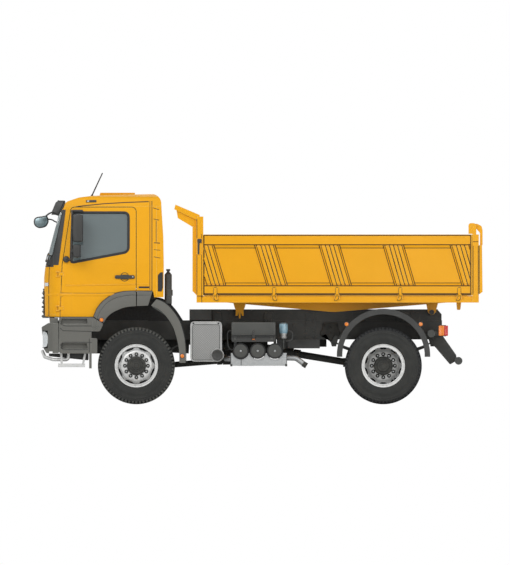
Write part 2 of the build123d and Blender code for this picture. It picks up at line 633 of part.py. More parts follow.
def chassis():
    node("ladder_frame", ladder_frame())
    node("cross_members", cross_members())
    node("tipper_subframe", tipper_subframe())
    node("driveline", driveline())
    node("front_axle", front_axle())
    node("rear_axle", rear_axle())
    node("leaf_springs", leaf_springs())
    node("front_bumper", front_bumper())
    node("chassis_lamps", chassis_lamps())
    node("tube_guards", tube_guards())
    node("step_boxes", step_boxes())
    node("front_mudguards", front_mudguards())
    node("wheel_housings", wheel_housings())
    node("fuel_tank", fuel_tank())
    node("equipment_boxes", equipment_boxes())
    node("air_tanks", air_tanks())
    node("silencer", silencer())
    node("intake_stack", intake_stack())
    node("rear_wings", rear_wings())
    node("underrun_guard", underrun_guard())
    left = knuckle()
    node("knuckle_left", left)
    node("knuckle_right", right(left))
    node("tie_rod", tie_rod())


# ---------------------------------------------------------------- cab
# lower edge of the cab's skin over the front wheel, and the underside of the plastic arch below it
ARCH_LINE = ((2401, CAB_BOTTOM_Z), (2143, 1591), (DOOR_REAR_X, 1646), (1530, 1646))
ARCH_LINE_R = (0, 260, 200, 0)
ARCH_UNDER = ((1530, 1580), (1599, 1438), (1772, 1430), (1892, 1417), (2073, 1354), (2255, 1172))
# side view, going up the back, along the roof and down the front
CAB_SIDE = ((1378, 1560), (1374, 2031), (1381, 2445), (1406, 2836), (1417, 3071), (2421, 3040),
            (2616, 3015), (2799, 2952),
            (2904, 2750), (3057, 2164), (3105, 1981), (3133, 1716), (3112, 1640), (3106, CAB_BOTTOM_Z)) \
    + ARCH_LINE + ((1515, 1560),)
CAB_SIDE_R = (10, 900, 900, 900, 140, 300, 200, 90, 60, 60, 200, 15, 15, 20) + ARCH_LINE_R + (10,)
# front view and plan, left half
CAB_FRONT = ((CAB_HALF, 1100), (CAB_HALF, 2060), (1130, 2900), (1098, 3018), (980, 3066))
CAB_FRONT_R = (0, 400, 120, 60, 120)
CAB_PLAN = ((1300, CAB_HALF + 1), (2700, CAB_HALF + 1), (2960, 1165), (3120, 980))
CAB_PLAN_R = (0, 0, 240, 220)
DOOR = ((DOOR_REAR_X, 1200), (DOOR_REAR_X, DOOR_TOP_Z), (2729, DOOR_TOP_Z), (2861, 2031), (2895, 1200))
DOOR_R = (0, 70, 60, 0, 0)
WINDOW = ((1892, 2226), (1892, 2792), (2701, 2792), (2727, 2067))
WINDOW_R = (90, 70, 50, 40)
WINDSCREEN = (1060, 2180, 2790)     # half width, low and high z
REAR_WINDOW = (620, 2150, 2640)


def cab_volume(inset):
    """Everything inside the cab's outer skin, set in by a distance on all sides."""
    side = outline(CAB_SIDE, CAB_SIDE_R)
    front = outline(CAB_FRONT + tuple((-y, z) for y, z in CAB_FRONT[::-1]), CAB_FRONT_R + CAB_FRONT_R[::-1])
    plan = outline(CAB_PLAN + tuple((x, -y) for x, y in CAB_PLAN[::-1]), CAB_PLAN_R + CAB_PLAN_R[::-1])
    if inset:
        side, front, plan = (offset(face, -inset) for face in (side, front, plan))
    return across(side, -1300, 1300) & along(front, 1200, 3300) & upright(plan, 1100, 3300)


def skin(outer, inner):
    """Layer of the cab's wall between two distances in from its outer skin."""
    return cab_volume(outer) - cab_volume(inner)


def cab():
    """Cab shell split into its panels, its glass, its doors and what is fixed to them."""
    shell = skin(0, CAB_WALL)
    glazing = skin(GLASS_OUT, GLASS_OUT + GLASS_WALL)
    door_face = outline(DOOR, DOOR_R)
    window_face = outline(WINDOW, WINDOW_R)
    # front view of what belongs to the doors: the outer edge of the floor and the leaning wall above
    reach = ((1150, 1200), (1150, 1740), (1000, 1800), (1000, 2950), (1300, 2950), (1300, 1200))
    door_cut = across(door_face, 1000, 1300) & along(outline(reach), 1700, 2950)
    body = shell - door_cut - right(door_cut)

    door = shell & across(offset(door_face, -DOOR_GAP), 1000, 1300)
    door &= along(outline([(y + DOOR_GAP, z) for y, z in reach]), 1700, 2950)
    door -= across(window_face, 1000, 1300)
    pane = glazing & across(window_face, 1000, 1300)
    door += block((1812, 2080), (1195, 1218), (1834, 1878))
    x, y = DOOR_HINGE
    for z in DOOR_HINGE_Z:
        notch = block((x - 62, x + 20), (y - 34, y + 40), (z - 26, z + 26))
        ears = block((x - 6, x + 44), (y - 30, y + 8), (z - 40, z - 26))
        ears += block((x - 6, x + 44), (y - 30, y + 8), (z + 26, z + 40))
        ears += upright(Pos(x, y) * Circle(DOOR_PIN_R), z - 40, z + 40)
        body = body - notch - right(notch) + ears + right(ears)
        strap = block((x - 66, x), (y - 20, y + 8), (z - 24, z + 24))
        strap += upright(Pos(x, y) * Circle(12), z - 24, z + 24)
        door += strap - upright(Pos(x, y) * Circle(DOOR_PIN_R + RUNNING_FIT), z - 30, z + 30)
    arch = across(outline(ARCH_LINE + ARCH_UNDER, ARCH_LINE_R + (20, 20, 0, 160, 200, 0)), 1150,
                  ARCH_OUT_Y)
    door_arch = arch & block((DOOR_REAR_X + DOOR_GAP, 2500), (1100, 1300), (1100, 1700))
    corner = arch & block((1500, DOOR_REAR_X), (1100, 1300), (1100, 1700))
    mirrors = door_mirrors()
    for side, turn in (("left", lambda shape: shape), ("right", right)):
        node(f"door_{side}", turn(door))
        node(f"door_glass_{side}", turn(pane))
        node(f"door_arch_{side}", turn(door_arch))
        node(f"mirrors_{side}", turn(mirrors))

    half, low, high = WINDSCREEN
    screen = along(outline(((half, low), (half - 60, high), (60 - half, high), (-half, low)), 70), 2650, 3300)
    half, low, high = REAR_WINDOW
    back = along(outline(((half, low), (half, high), (-half, high), (-half, low)), 60), 1200, 1600)
    body = body - screen - back
    glass = group(glazing & screen, glazing & back)

    roof_zone = block((1300, 3300), (-1300, 1300), (DOOR_TOP_Z + DOOR_GAP, 3300))
    front_zone = block((2640, 3300), (-1300, 1300), (1100, DOOR_TOP_Z + DOOR_GAP))
    back_zone = block((1300, 1480), (-1300, 1300), (1100, DOOR_TOP_Z + DOOR_GAP))
    floor_zone = across(outline(((3060, 1270), (3060, 1277 + CAB_WALL), (2419, 1277 + CAB_WALL),
                                 (2160, 1630), (1776, 1646 + CAB_WALL),
                                 (1480, 1646 + CAB_WALL), (1480, 1270))), -1150, 1150)
    roof = body & roof_zone
    roof += across(outline(((1794, 3040), (1794, 3085), (2300, 3085), (2317, 3030)), (0, 8, 8, 0)), -330,
                   330) - cab_volume(2)
    floor = body & floor_zone
    lug = across(outline(((2965, 1290), (3043, 1290), (CAB_PIVOT[0] + 28, CAB_PIVOT[1] - 28),
                          (CAB_PIVOT[0] - 28, CAB_PIVOT[1] - 28)),
                         (0, 0, 27, 27)), *CAB_LUG_Y)
    lug -= cross_rod(*CAB_PIVOT, CAB_PIN_R + RUNNING_FIT, CAB_LUG_Y[0] - 5, CAB_LUG_Y[1] + 5)
    floor = floor + lug + right(lug)
    rest = body - floor_zone - roof_zone
    node("cab_roof", roof)
    node("cab_floor", floor)
    node("cab_front_panel", rest & front_zone)
    node("cab_back_wall", rest & back_zone)
    node("cab_sides", rest - front_zone - back_zone)
    node("cab_glass", glass)
    node("cab_arch_corners", pair(corner))
    node("cab_grille", cab_grille())
    node("cab_outside_fittings", cab_outside_fittings())
    node("cab_interior", cab_interior())


def door_mirrors():
    """Main and wide-angle mirrors on their arms, fixed to the door."""
    y0, y1 = 1290, MIRROR_OUT_Y
    main = across(outline(((2560, 2366), (2695, 2366), (2701, 2770), (2556, 2770)), 40), y0, y1)
    wide = across(outline(((2595, 2136), (2695, 2136), (2701, 2331), (2589, 2331)), 35), y0, y1)
    arm = bent_bar([(2700, 1150, 2830), (2700, 1390, 2830), (2680, 1390, 2100), (2790, 1210, 2100)], 13, 40)
    pod = block((2755, 2835), (1190, 1232), (2060, 2165))
    top = block((2660, 2730), (1128, 1160), (2805, 2855))
    return main + wide + arm + pod + top - cab_volume(0)


def cab_grille():
    """Louvred grille across the front of the cab."""
    bars = None
    for z in range(1285, 1640, 44):
        slat = across(outline(((3108, z), (3108, z + 30), (3138, z + 12), (3138, z - 2))), -880, 880)
        bars = slat if bars is None else bars + slat
    for y in (-880, -300, 300, 880):
        bars += block((3107, 3130), (y - 12, y + 12), (1277, 1650))
    plan = outline(((3000, 1190), (3090, 1080), (3144, 900), (3144, -900), (3090, -1080), (3000, -1190)),
                   (0, 60, 120, 120, 60, 0))
    frame = upright(plan, 1258, CAB_BOTTOM_Z)
    bars += frame & block((3050, 3200), (-1200, 1200), (1250, 1280))
    return bars - cab_volume(0)


def cab_outside_fittings():
    """Sun visor, front mirror and aerial."""
    visor = across(outline(((2917, 2980), (3014, 2764), (3001, 2758), (2904, 2974))), -1040, 1040)
    for y in (-1030, -380, 380, 1030):
        visor += across(outline(((2812, 2966), (2917, 2980), (3014, 2764), (2861, 2740))), y - 8, y + 8)
    visor = visor - cab_volume(0)
    head_face = outline(((LENGTH_HALF, 2700), (LENGTH_HALF - 40, 2745), (3078, 2760), (3060, 2640),
                         (3100, 2564), (3215, 2564)),
                        (30, 30, 30, 60, 40, 40))
    mirror_head = across(head_face, -900, -850)
    arm = bent_bar([(2850, -890, 2830), (3000, -890, 2830), (3100, -890, 2730)], 13, 40)
    front_mirror = mirror_head + arm - cab_volume(0) - visor
    aerial = rod((2408, 820, 3030), (2271, 820, 3375), 7) + rod((2408, 820, 2990), (2408, 820, 3045), 24)
    return group(visor, front_mirror, aerial - cab_volume(0))


def cab_interior():
    """Two chairs, the dashboard and the steering wheel."""
    pieces = []
    for y in (-560, 560):
        chair = block((1950, 2120), (y - 160, y + 160), (1560, 1810))
        chair += across(outline(((1880, 1805), (2370, 1815), (2370, 1930), (1880, 1930)), 35), y - 250,
                        y + 250)
        chair += across(outline(((1850, 1850), (1960, 1850), (1870, 2560), (1760, 2560)), 30), y - 250,
                        y + 250)
        chair += across(outline(((1770, 2555), (1860, 2555), (1845, 2740), (1755, 2740)), 25), y - 140,
                        y + 140)
        pieces.append(chair)
    dash = across(outline(((3060, 1330), (3060, 2080), (2960, 2130), (2760, 2060), (2740, 1900),
                           (2850, 1600), (2850, 1330)), 25), -1120, 1120)
    column = rod((2800, 560, 1800), (2592, 560, 2086), 36)
    lean = Pos(2590, 560, 2088) * Rot(0, -36, 0)
    wheel = lean * Torus(215, 15) + lean * Box(420, 40, 16) + lean * Cylinder(60, 30)
    pieces.append(dash + column + wheel)
    return group(*[piece & cab_volume(CAB_WALL) for piece in pieces])


# ---------------------------------------------------------------- bed
def bed_floor():
    """Bed floor with its frame, cross members, long beams, rear posts and tipping brackets."""
    z0, z1 = BED_FRAME_Z
    x0, x1 = BED_REAR_X, BED_FRONT_X
    floor = block((x0, x1), (-WALL_INNER_Y + 6, WALL_INNER_Y - 6), (z1, z1 + 4))
    floor += block(FLOOR_PLATE_X, (-FLOOR_PLATE_Y, FLOOR_PLATE_Y), (z1 + 3, z1 + 8))
    edge = rail(BED_HALF - 12, 8, 60, BED_FRAME_Z, (x0, x1))
    half = edge
    for index in range(9):
        x = x0 + 110 + index * (x1 - x0 - 220) / 8
        half += block((x - 5, x + 5), (0, BED_HALF - 20), BED_FRAME_Z)
        half += block((x - 30, x + 30), (0, BED_HALF - 20), (z0, z0 + 7))
    beam = outline(((482, z0 + 2), (-1100, 1344), (-2775, z0 + 2)), (0, 600, 0))
    half += across(beam, 478, 540)
    half += block((x0, x0 + 90), (0, BED_HALF - 14), BED_FRAME_Z)
    half += block((x1 - 90, x1), (0, BED_HALF - 14), BED_FRAME_Z)
    # tipping bracket round the rear pin
    ear = across(outline(((-2447, z0 + 2), (-2627, z0 + 2), (-2590, 1343), (-2533, 1278), (-2476, 1343)),
                         (0, 0, 40, 50, 40)), 480, 540)
    half += ear
    half -= cross_rod(*TIP_PIN, TIP_PIN_R + RUNNING_FIT, 470, 560)
    # three-pronged guide below the bed's front
    guide = ((173, z0 + 2), (364, z0 + 2), (340, 1405), (323, 1366), (328, 1290), (300, 1290), (286, 1345),
             (278, 1252),
             (258, 1252), (250, 1345), (236, 1290), (207, 1290), (212, 1366), (195, 1405))
    half += across(outline(guide), 560, 620)
    half += across(outline(((-2883, z1), (-2972, z1), (-2950, 1376), (-2900, 1376)), (0, 0, 14, 14)), 600,
                   660)
    # rear post and its hinge ears
    post = block(POST_REAR_X, (1160, BED_HALF), (z0, 2477))
    for y0, y1 in ((1168, 1184), (1228, 1246)):
        ear = across(outline(((-3182, 2470), (-3182, 2600), (GATE_PIN[0] - 44, 2642),
                              (GATE_PIN[0] + 50, 2642),
                              (GATE_PIN[0] + 50, 2485), (-3124, 2485), (-3124, 2470)),
                              (0, 20, 36, 36, 0, 0, 0)), y0, y1)
        post += ear
    post += cross_rod(*GATE_PIN, GATE_PIN_R, 1160, BED_HALF)
    half += post
    # drop side hinges
    y, z = WALL_HINGE
    for x in WALL_HINGE_X:
        for dx in (-36, 24):
            half += block((x + dx, x + dx + 12), (BED_HALF - 20, y), (z - 60, BED_FRAME_Z[1]))
            half += block((x + dx, x + dx + 12), (y - 10, y), (z - 60, z))
            half += rod((x + dx, y, z), (x + dx + 12, y, z), 10)
        half += rod((x - 36, y, z), (x + 36, y, z), WALL_PIN_R)
        half -= block((x - 23.5, x + 23.5), (y - 13, y + 13), (z - 13, z + 13)) - rod((x - 40, y, z),
                                                                                      (x + 40, y, z), WALL_PIN_R)
    whole = floor + half + right(half)
    eye = outline(((HOIST_PIN[0] - 60, z0 + 1), (HOIST_PIN[0] + 60, z0 + 1),
                   (HOIST_PIN[0] + 34, HOIST_EYE_Z - 34), (HOIST_PIN[0] - 34, HOIST_EYE_Z - 34)),
                   (0, 0, 30, 30))
    for y0, y1 in ((34, 50), (-50, -34)):
        whole += across(eye, y0, y1)
    # beam between the long beams that carries the ram's pin
    whole += block((HOIST_PIN[0] - 70, HOIST_PIN[0] + 70), (-480, 480), (z0, z0 + 10))
    whole += block((HOIST_PIN[0] - 5, HOIST_PIN[0] + 5), (-480, 480), BED_FRAME_Z)
    return whole + cross_rod(HOIST_PIN[0], HOIST_EYE_Z, 16, -56, 56)


def side_wall():
    """Drop side: top and bottom rails, recessed sheet, slanted ribs and hinge straps."""
    x0, x1 = WALL_X
    top = block((x0, x1), (WALL_INNER_Y, BED_HALF), (2331, WALL_TOP_Z))
    lowered = across(outline(((x0, WALL_BOTTOM_Z), (x1, WALL_BOTTOM_Z), (x1, 1732), (x0, 1732))),
                     WALL_INNER_Y, BED_HALF)
    sheet = block((x0, x1), (WALL_INNER_Y, WALL_INNER_Y + 14), (1700, 2350))
    ends = block((x0, x0 + 22), (WALL_INNER_Y, BED_HALF), (1700, 2350))
    ends += block((x1 - 20, x1), (WALL_INNER_Y, WALL_INNER_Y + 24), (1700, 2350))
    wall = top + lowered + sheet + ends
    bevel = along(outline(((WALL_INNER_Y + 13, 2270), (BED_HALF - 1, 2332), (WALL_INNER_Y + 13, 2332))), x0,
                  x1)
    ledge = along(outline(((WALL_INNER_Y + 13, 1767), (BED_HALF - 1, 1731), (WALL_INNER_Y + 13, 1731))), x0,
                  x1)
    wall += bevel + ledge
    # x of each slanted rib at its top and its bottom
    for top_x, low_x in ((798, 620), (-95, -278), (-1036, -1212), (-1969, -2142), (-2945, -3122)):
        face = outline(((top_x - 150, 2330), (top_x + 150, 2330), (low_x + 150, 1734), (low_x - 150, 1734)))
        bar = extrude(Plane.XZ.offset(-WALL_INNER_Y - 13) * face, -27, taper=45)
        for groove in (-60, 0, 60):
            line = outline(((top_x + groove - 7, 2340), (top_x + groove + 7, 2340),
                            (low_x + groove + 7, 1724),
                            (low_x + groove - 7, 1724)))
            bar -= across(line, WALL_INNER_Y + 31, BED_HALF)
        wall += bar & block((x0 + 20, x1), (1100, 1300), (1700, 2400))
    y, z = WALL_HINGE
    for x in WALL_HINGE_X:
        wall += block((x - 22, x + 22), (BED_HALF - 2, BED_HALF + 8), (z - 4, 1700))
        wall += rod((x - 22, y, z), (x + 22, y, z), 11)
        wall += block((x - 22, x + 22), (BED_HALF - 2, y), (z - 4, z + 10))
        wall -= rod((x - 50, y, z), (x + 50, y, z), WALL_PIN_R + RUNNING_FIT)
    return wall


def tailgate():
    """Tailgate, and the two arms it hangs from behind the rear posts."""
    x0, x1 = GATE_X
    face = outline(((x0, 1640), (x1, 1605), (x1, 2321), (x0 + 8, 2321)))
    gate = across(face, -BED_HALF, BED_HALF)
    recess = block((x0 - 10, x0 + 24), (-560, 560), (1720, 2240))
    gate -= recess
    for y in (-900, 900):
        gate -= block((x0 - 10, x0 + 24), (y - 270, y + 270), (1720, 2240))
    arm = outline(((GATE_PIN[0] + 34, 2560), (GATE_PIN[0] + 34, 2632), (-3196, 2632), (-3258, 2600),
                   (x0, 2540), (x0, 2321),
                   (x1 - 6, 2321), (x1 - 6, 2500), (-3180, 2560)), (24, 24, 30, 30, 30, 0, 0, 40, 20))
    arm = across(arm, 1192, 1220) - cross_rod(*GATE_PIN, GATE_PIN_R + RUNNING_FIT, 1180, 1230)
    return gate, pair(arm)


def bed_headboard():
    """Front wall of the bed with its posts and the canopy over the cab's back."""
    z0 = BED_FRAME_Z[1] + 4
    post = block((798, 897), (1150, BED_HALF), (z0, 2738))
    post += block((822, 886), (BED_HALF - 1, BED_HALF + 10), (2186, 2413))
    panel = across(outline(((897, 1590), (956, 1650), (956, 2586), (897, 2586))), -BED_HALF + 40,
                   BED_HALF - 40)
    for y in (-900, -450, 0, 450, 900):
        panel -= block((930, 970), (y - 190, y + 190), (1700, 2480))
    canopy_face = outline(((851, 2700), (851, 2761), (1205, 2912), (1223, 2843), (1212, 2838), (1200, 2892),
                           (897, 2762), (897, 2700)))
    canopy = across(canopy_face, -BED_HALF + 10, BED_HALF - 10)
    canopy += block((851, 897), (-BED_HALF + 10, BED_HALF - 10), (2560, 2720))
    for y in (-1202, -426, 414, 1190):
        canopy += across(outline(((897, 2762), (1200, 2890), (1170, 2715), (956, 2586), (897, 2586))), y,
                         y + 12)
    # deep side edges of the canopy
    for y in (-BED_HALF + 10, BED_HALF - 22):
        canopy += across(outline(((851, 2757), (1202, 2905), (1221, 2843), (897, 2690), (851, 2690))), y,
                         y + 12)
    sheet = block((860, 897), (-1150, 1150), (z0, 2700))
    return post + right(post) + panel + canopy + sheet


def hoist():
    """Telescopic tipping ram: a barrel on trunnions and three stages that slide in it."""
    x, z = HOIST_PIN
    top = HOIST_EYE_Z - 46
    for index, radius in enumerate(HOIST_R):
        low = HOIST_BOTTOM_Z + 14 * index
        high = top - 12 * (3 - index)
        if index == 3:
            tube = upright(Pos(x, 0) * Circle(radius), low, high)
            # the head is open at the top, because the pin rises out of it in the middle of the travel
            head = outline(((x - 40, top - 20), (x + 40, top - 20), (x + 40, HOIST_EYE_Z + 22),
                            (x - 40, HOIST_EYE_Z + 22)), (10, 10, 8, 8))
            tube += across(head, -28, 28)
            tube -= cross_rod(x, HOIST_EYE_Z, 23, -40, 40) + block((x - 23, x + 23), (-40, 40),
                                                                   (HOIST_EYE_Z, HOIST_EYE_Z + 40))
        else:
            bore = HOIST_R[index + 1] + 0.3
            tube = upright(Pos(x, 0) * Circle(radius), low, high)
            tube -= upright(Pos(x, 0) * Circle(bore), low + 12, high + 20)
        if index == 0:
            pin = cross_rod(x, z, 26, radius - 4, 150)
            tube += pin + right(pin)
            name = "hoist_barrel"
        else:
            name = f"hoist_stage_{index}"
        node(name, tube)


def bed():
    node("bed_floor", bed_floor())
    wall = side_wall()
    node("side_wall_left", wall)
    node("side_wall_right", right(wall))
    gate, arms = tailgate()
    node("tailgate", gate)
    node("tailgate_arms", arms)
    node("bed_headboard", bed_headboard())
    hoist()


wheels()
chassis()
cab()
bed()
os.makedirs("parts", exist_ok=True)
for name, shape in NODES.items():
    export_step(shape, f"parts/{name}.step")
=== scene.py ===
"""Looks of a two-axle tipper lorry with a tilting cab and a drop-side bed.

Pieces are drawn in millimetres, as on a shop drawing, and made in metres in the lorry's own frame: +X is forward,
+Y is the left side and +Z is up, with the origin on the ground below the middle. They are drawn on the left and
turned over to the right where the lorry has a pair.
"""

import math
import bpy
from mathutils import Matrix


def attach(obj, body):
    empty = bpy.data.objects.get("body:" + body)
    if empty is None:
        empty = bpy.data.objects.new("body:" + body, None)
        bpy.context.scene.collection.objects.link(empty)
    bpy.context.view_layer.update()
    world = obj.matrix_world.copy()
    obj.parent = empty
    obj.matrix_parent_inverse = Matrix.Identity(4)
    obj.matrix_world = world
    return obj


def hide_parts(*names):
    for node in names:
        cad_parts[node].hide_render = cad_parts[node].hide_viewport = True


bl_info = {
    "name": "Tipper Lorry Looks",
    "version": (1, 0, 0),
    "blender": (4, 5, 0),
    "location": "3D View > Sidebar > Lorry",
    "description": "Tyres, trim, lamps, seats and finishes of a tipper lorry",
    "category": "Object",
}

import bmesh
import bpy
from bpy.props import FloatProperty, FloatVectorProperty, IntProperty, PointerProperty
from mathutils import Vector
from mathutils.bvhtree import BVHTree

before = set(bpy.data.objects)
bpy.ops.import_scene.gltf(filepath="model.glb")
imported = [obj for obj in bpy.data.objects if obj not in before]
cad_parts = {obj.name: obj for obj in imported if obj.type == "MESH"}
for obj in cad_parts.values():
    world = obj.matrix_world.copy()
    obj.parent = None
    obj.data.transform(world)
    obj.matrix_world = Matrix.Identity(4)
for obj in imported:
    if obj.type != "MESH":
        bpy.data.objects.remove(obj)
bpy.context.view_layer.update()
SIDES = (("left", 1), ("right", -1))
METRE = 1000


def linear(hex_colour):
    """An sRGB hex colour as linear red, green, blue and alpha."""
    parts = [int(hex_colour[i:i + 2], 16) / 255 for i in (0, 2, 4)]
    return [p / 12.92 if p <= 0.04045 else ((p + 0.055) / 1.055) ** 2.4 for p in parts] + [1.0]


# ---------------------------------------------------------------- what a user may change
def colour(title, text, hex_colour):
    """A colour swatch for the sidebar."""
    return FloatVectorProperty(name=title, description=text, subtype="COLOR", size=4, min=0, max=1,
                               default=linear(hex_colour))


def length(title, text, metres):
    """A length for the sidebar."""
    return FloatProperty(name=title, description=text, default=metres, min=0, unit="LENGTH")


class LorryColours(bpy.types.PropertyGroup):
    body: colour("Body enamel", "Cab and bed paint", "EFA912")
    chassis: colour("Chassis enamel", "Frame, guards and boxes", "343532")
    plastic: colour("Grey plastic", "Bumper, steps and arches", "66655F")
    silver: colour("Silver lacquer", "Wheels, tubes and silencer", "D0D0CE")
    rubber: colour("Tyre rubber", "Tyres", "242523")
    glass: colour("Tinted glass", "Side glass", "7F8C8D")
    amber: colour("Amber lens", "Side and direction lamps", "FF8A0C")
    red: colour("Red lens", "Tail and brake lamps", "D9231C")
    seat: colour("Seat cloth", "Woven seat covers", "4A4F55")


class LorrySizes(bpy.types.PropertyGroup):
    lugs: IntProperty(name="Tread lugs", description="Lugs round each tyre", default=64, min=12)
    groove: length("Tread depth", "Depth of the tread's grooves", 0.020)
    nut: length("Wheel nut", "Width across a wheel nut's flats", 0.036)
    seal: length("Window seal", "Width of the rubber round each side window", 0.036)
    bolt: length("Frame bolt", "Width across a frame bolt's flats", 0.024)
    lamp: length("Side lamp", "Radius of a round side lamp", 0.029)


# ---------------------------------------------------------------- outlines
def rounded(points, radius, steps=5):
    """A closed outline with its corners rounded by one radius or by one radius each."""
    count = len(points)
    radii = radius if isinstance(radius, (list, tuple)) else [radius] * count
    made = []
    for i, point in enumerate(points):
        here = Vector(point)
        before, after = Vector(points[i - 1]) - here, Vector(points[(i + 1) % count]) - here
        angle = before.angle(after)
        if radii[i] <= 0 or angle > math.pi - 0.01:
            made.append(here)
            continue
        reach = min(radii[i] / math.tan(angle / 2), 0.49 * before.length, 0.49 * after.length)
        start, end = here + before.normalized() * reach, here + after.normalized() * reach
        made += [start.lerp(here, t).lerp(here.lerp(end, t), t) for t in (k / steps for k in range(steps + 1))]
    return made


def inset(points, by):
    """A closed flat outline moved inward."""
    count = len(points)
    turn = 1 if sum(points[i - 1].cross(points[i]) for i in range(count)) > 0 else -1
    made = []
    for i, here in enumerate(points):
        before = (here - points[i - 1]).normalized()
        after = (points[(i + 1) % count] - here).normalized()
        normal = Vector((-before.y - after.y, before.x + after.x))
        if normal.length < 1e-6:
            normal = Vector((-before.y, before.x))
        normal.normalize()
        slant = max(0.4, normal.dot(Vector((-before.y, before.x))))
        made.append(here + normal * (turn * by / slant))
    return made


def box_outline(a, b, radius, steps=5):
    """Rounded rectangle between two ranges."""
    return rounded([(a[0], b[0]), (a[1], b[0]), (a[1], b[1]), (a[0], b[1])], radius, steps)


def curve(points, steps=5):
    """Smooth line through points."""
    points = [Vector(p) for p in points]
    made = []
    for i in range(len(points) - 1):
        a, b, c, d = points[max(i - 1, 0)], points[i], points[i + 1], points[min(i + 2, len(points) - 1)]
        for t in (k / steps for k in range(steps)):
            made.append((2 * b + (c - a) * t + (2 * a - 5 * b + 4 * c - d) * t * t
                         + (3 * b - a - 3 * c + d) * t ** 3) / 2)
    return made + [points[-1]]


def low_strip(width, high, sunk=2):
    """Section of a low rounded strip, wider than it is high."""
    half = width / 2
    return [(-half, -sunk), (-half, high * 0.55), (-half * 0.8, high), (half * 0.8, high),
            (half, high * 0.55), (half, -sunk)]


def circle(radius, count):
    """Flat points set evenly on a circle."""
    return [(radius * math.cos(a), radius * math.sin(a)) for a in (2 * math.pi * k / count for k in range(count))]


# ---------------------------------------------------------------- mesh building
LAY = {
    "x": lambda a, b, depth: (depth, a, b),
    "y": lambda a, b, depth: (a, depth, b),
    "z": lambda a, b, depth: (a, b, depth),
}


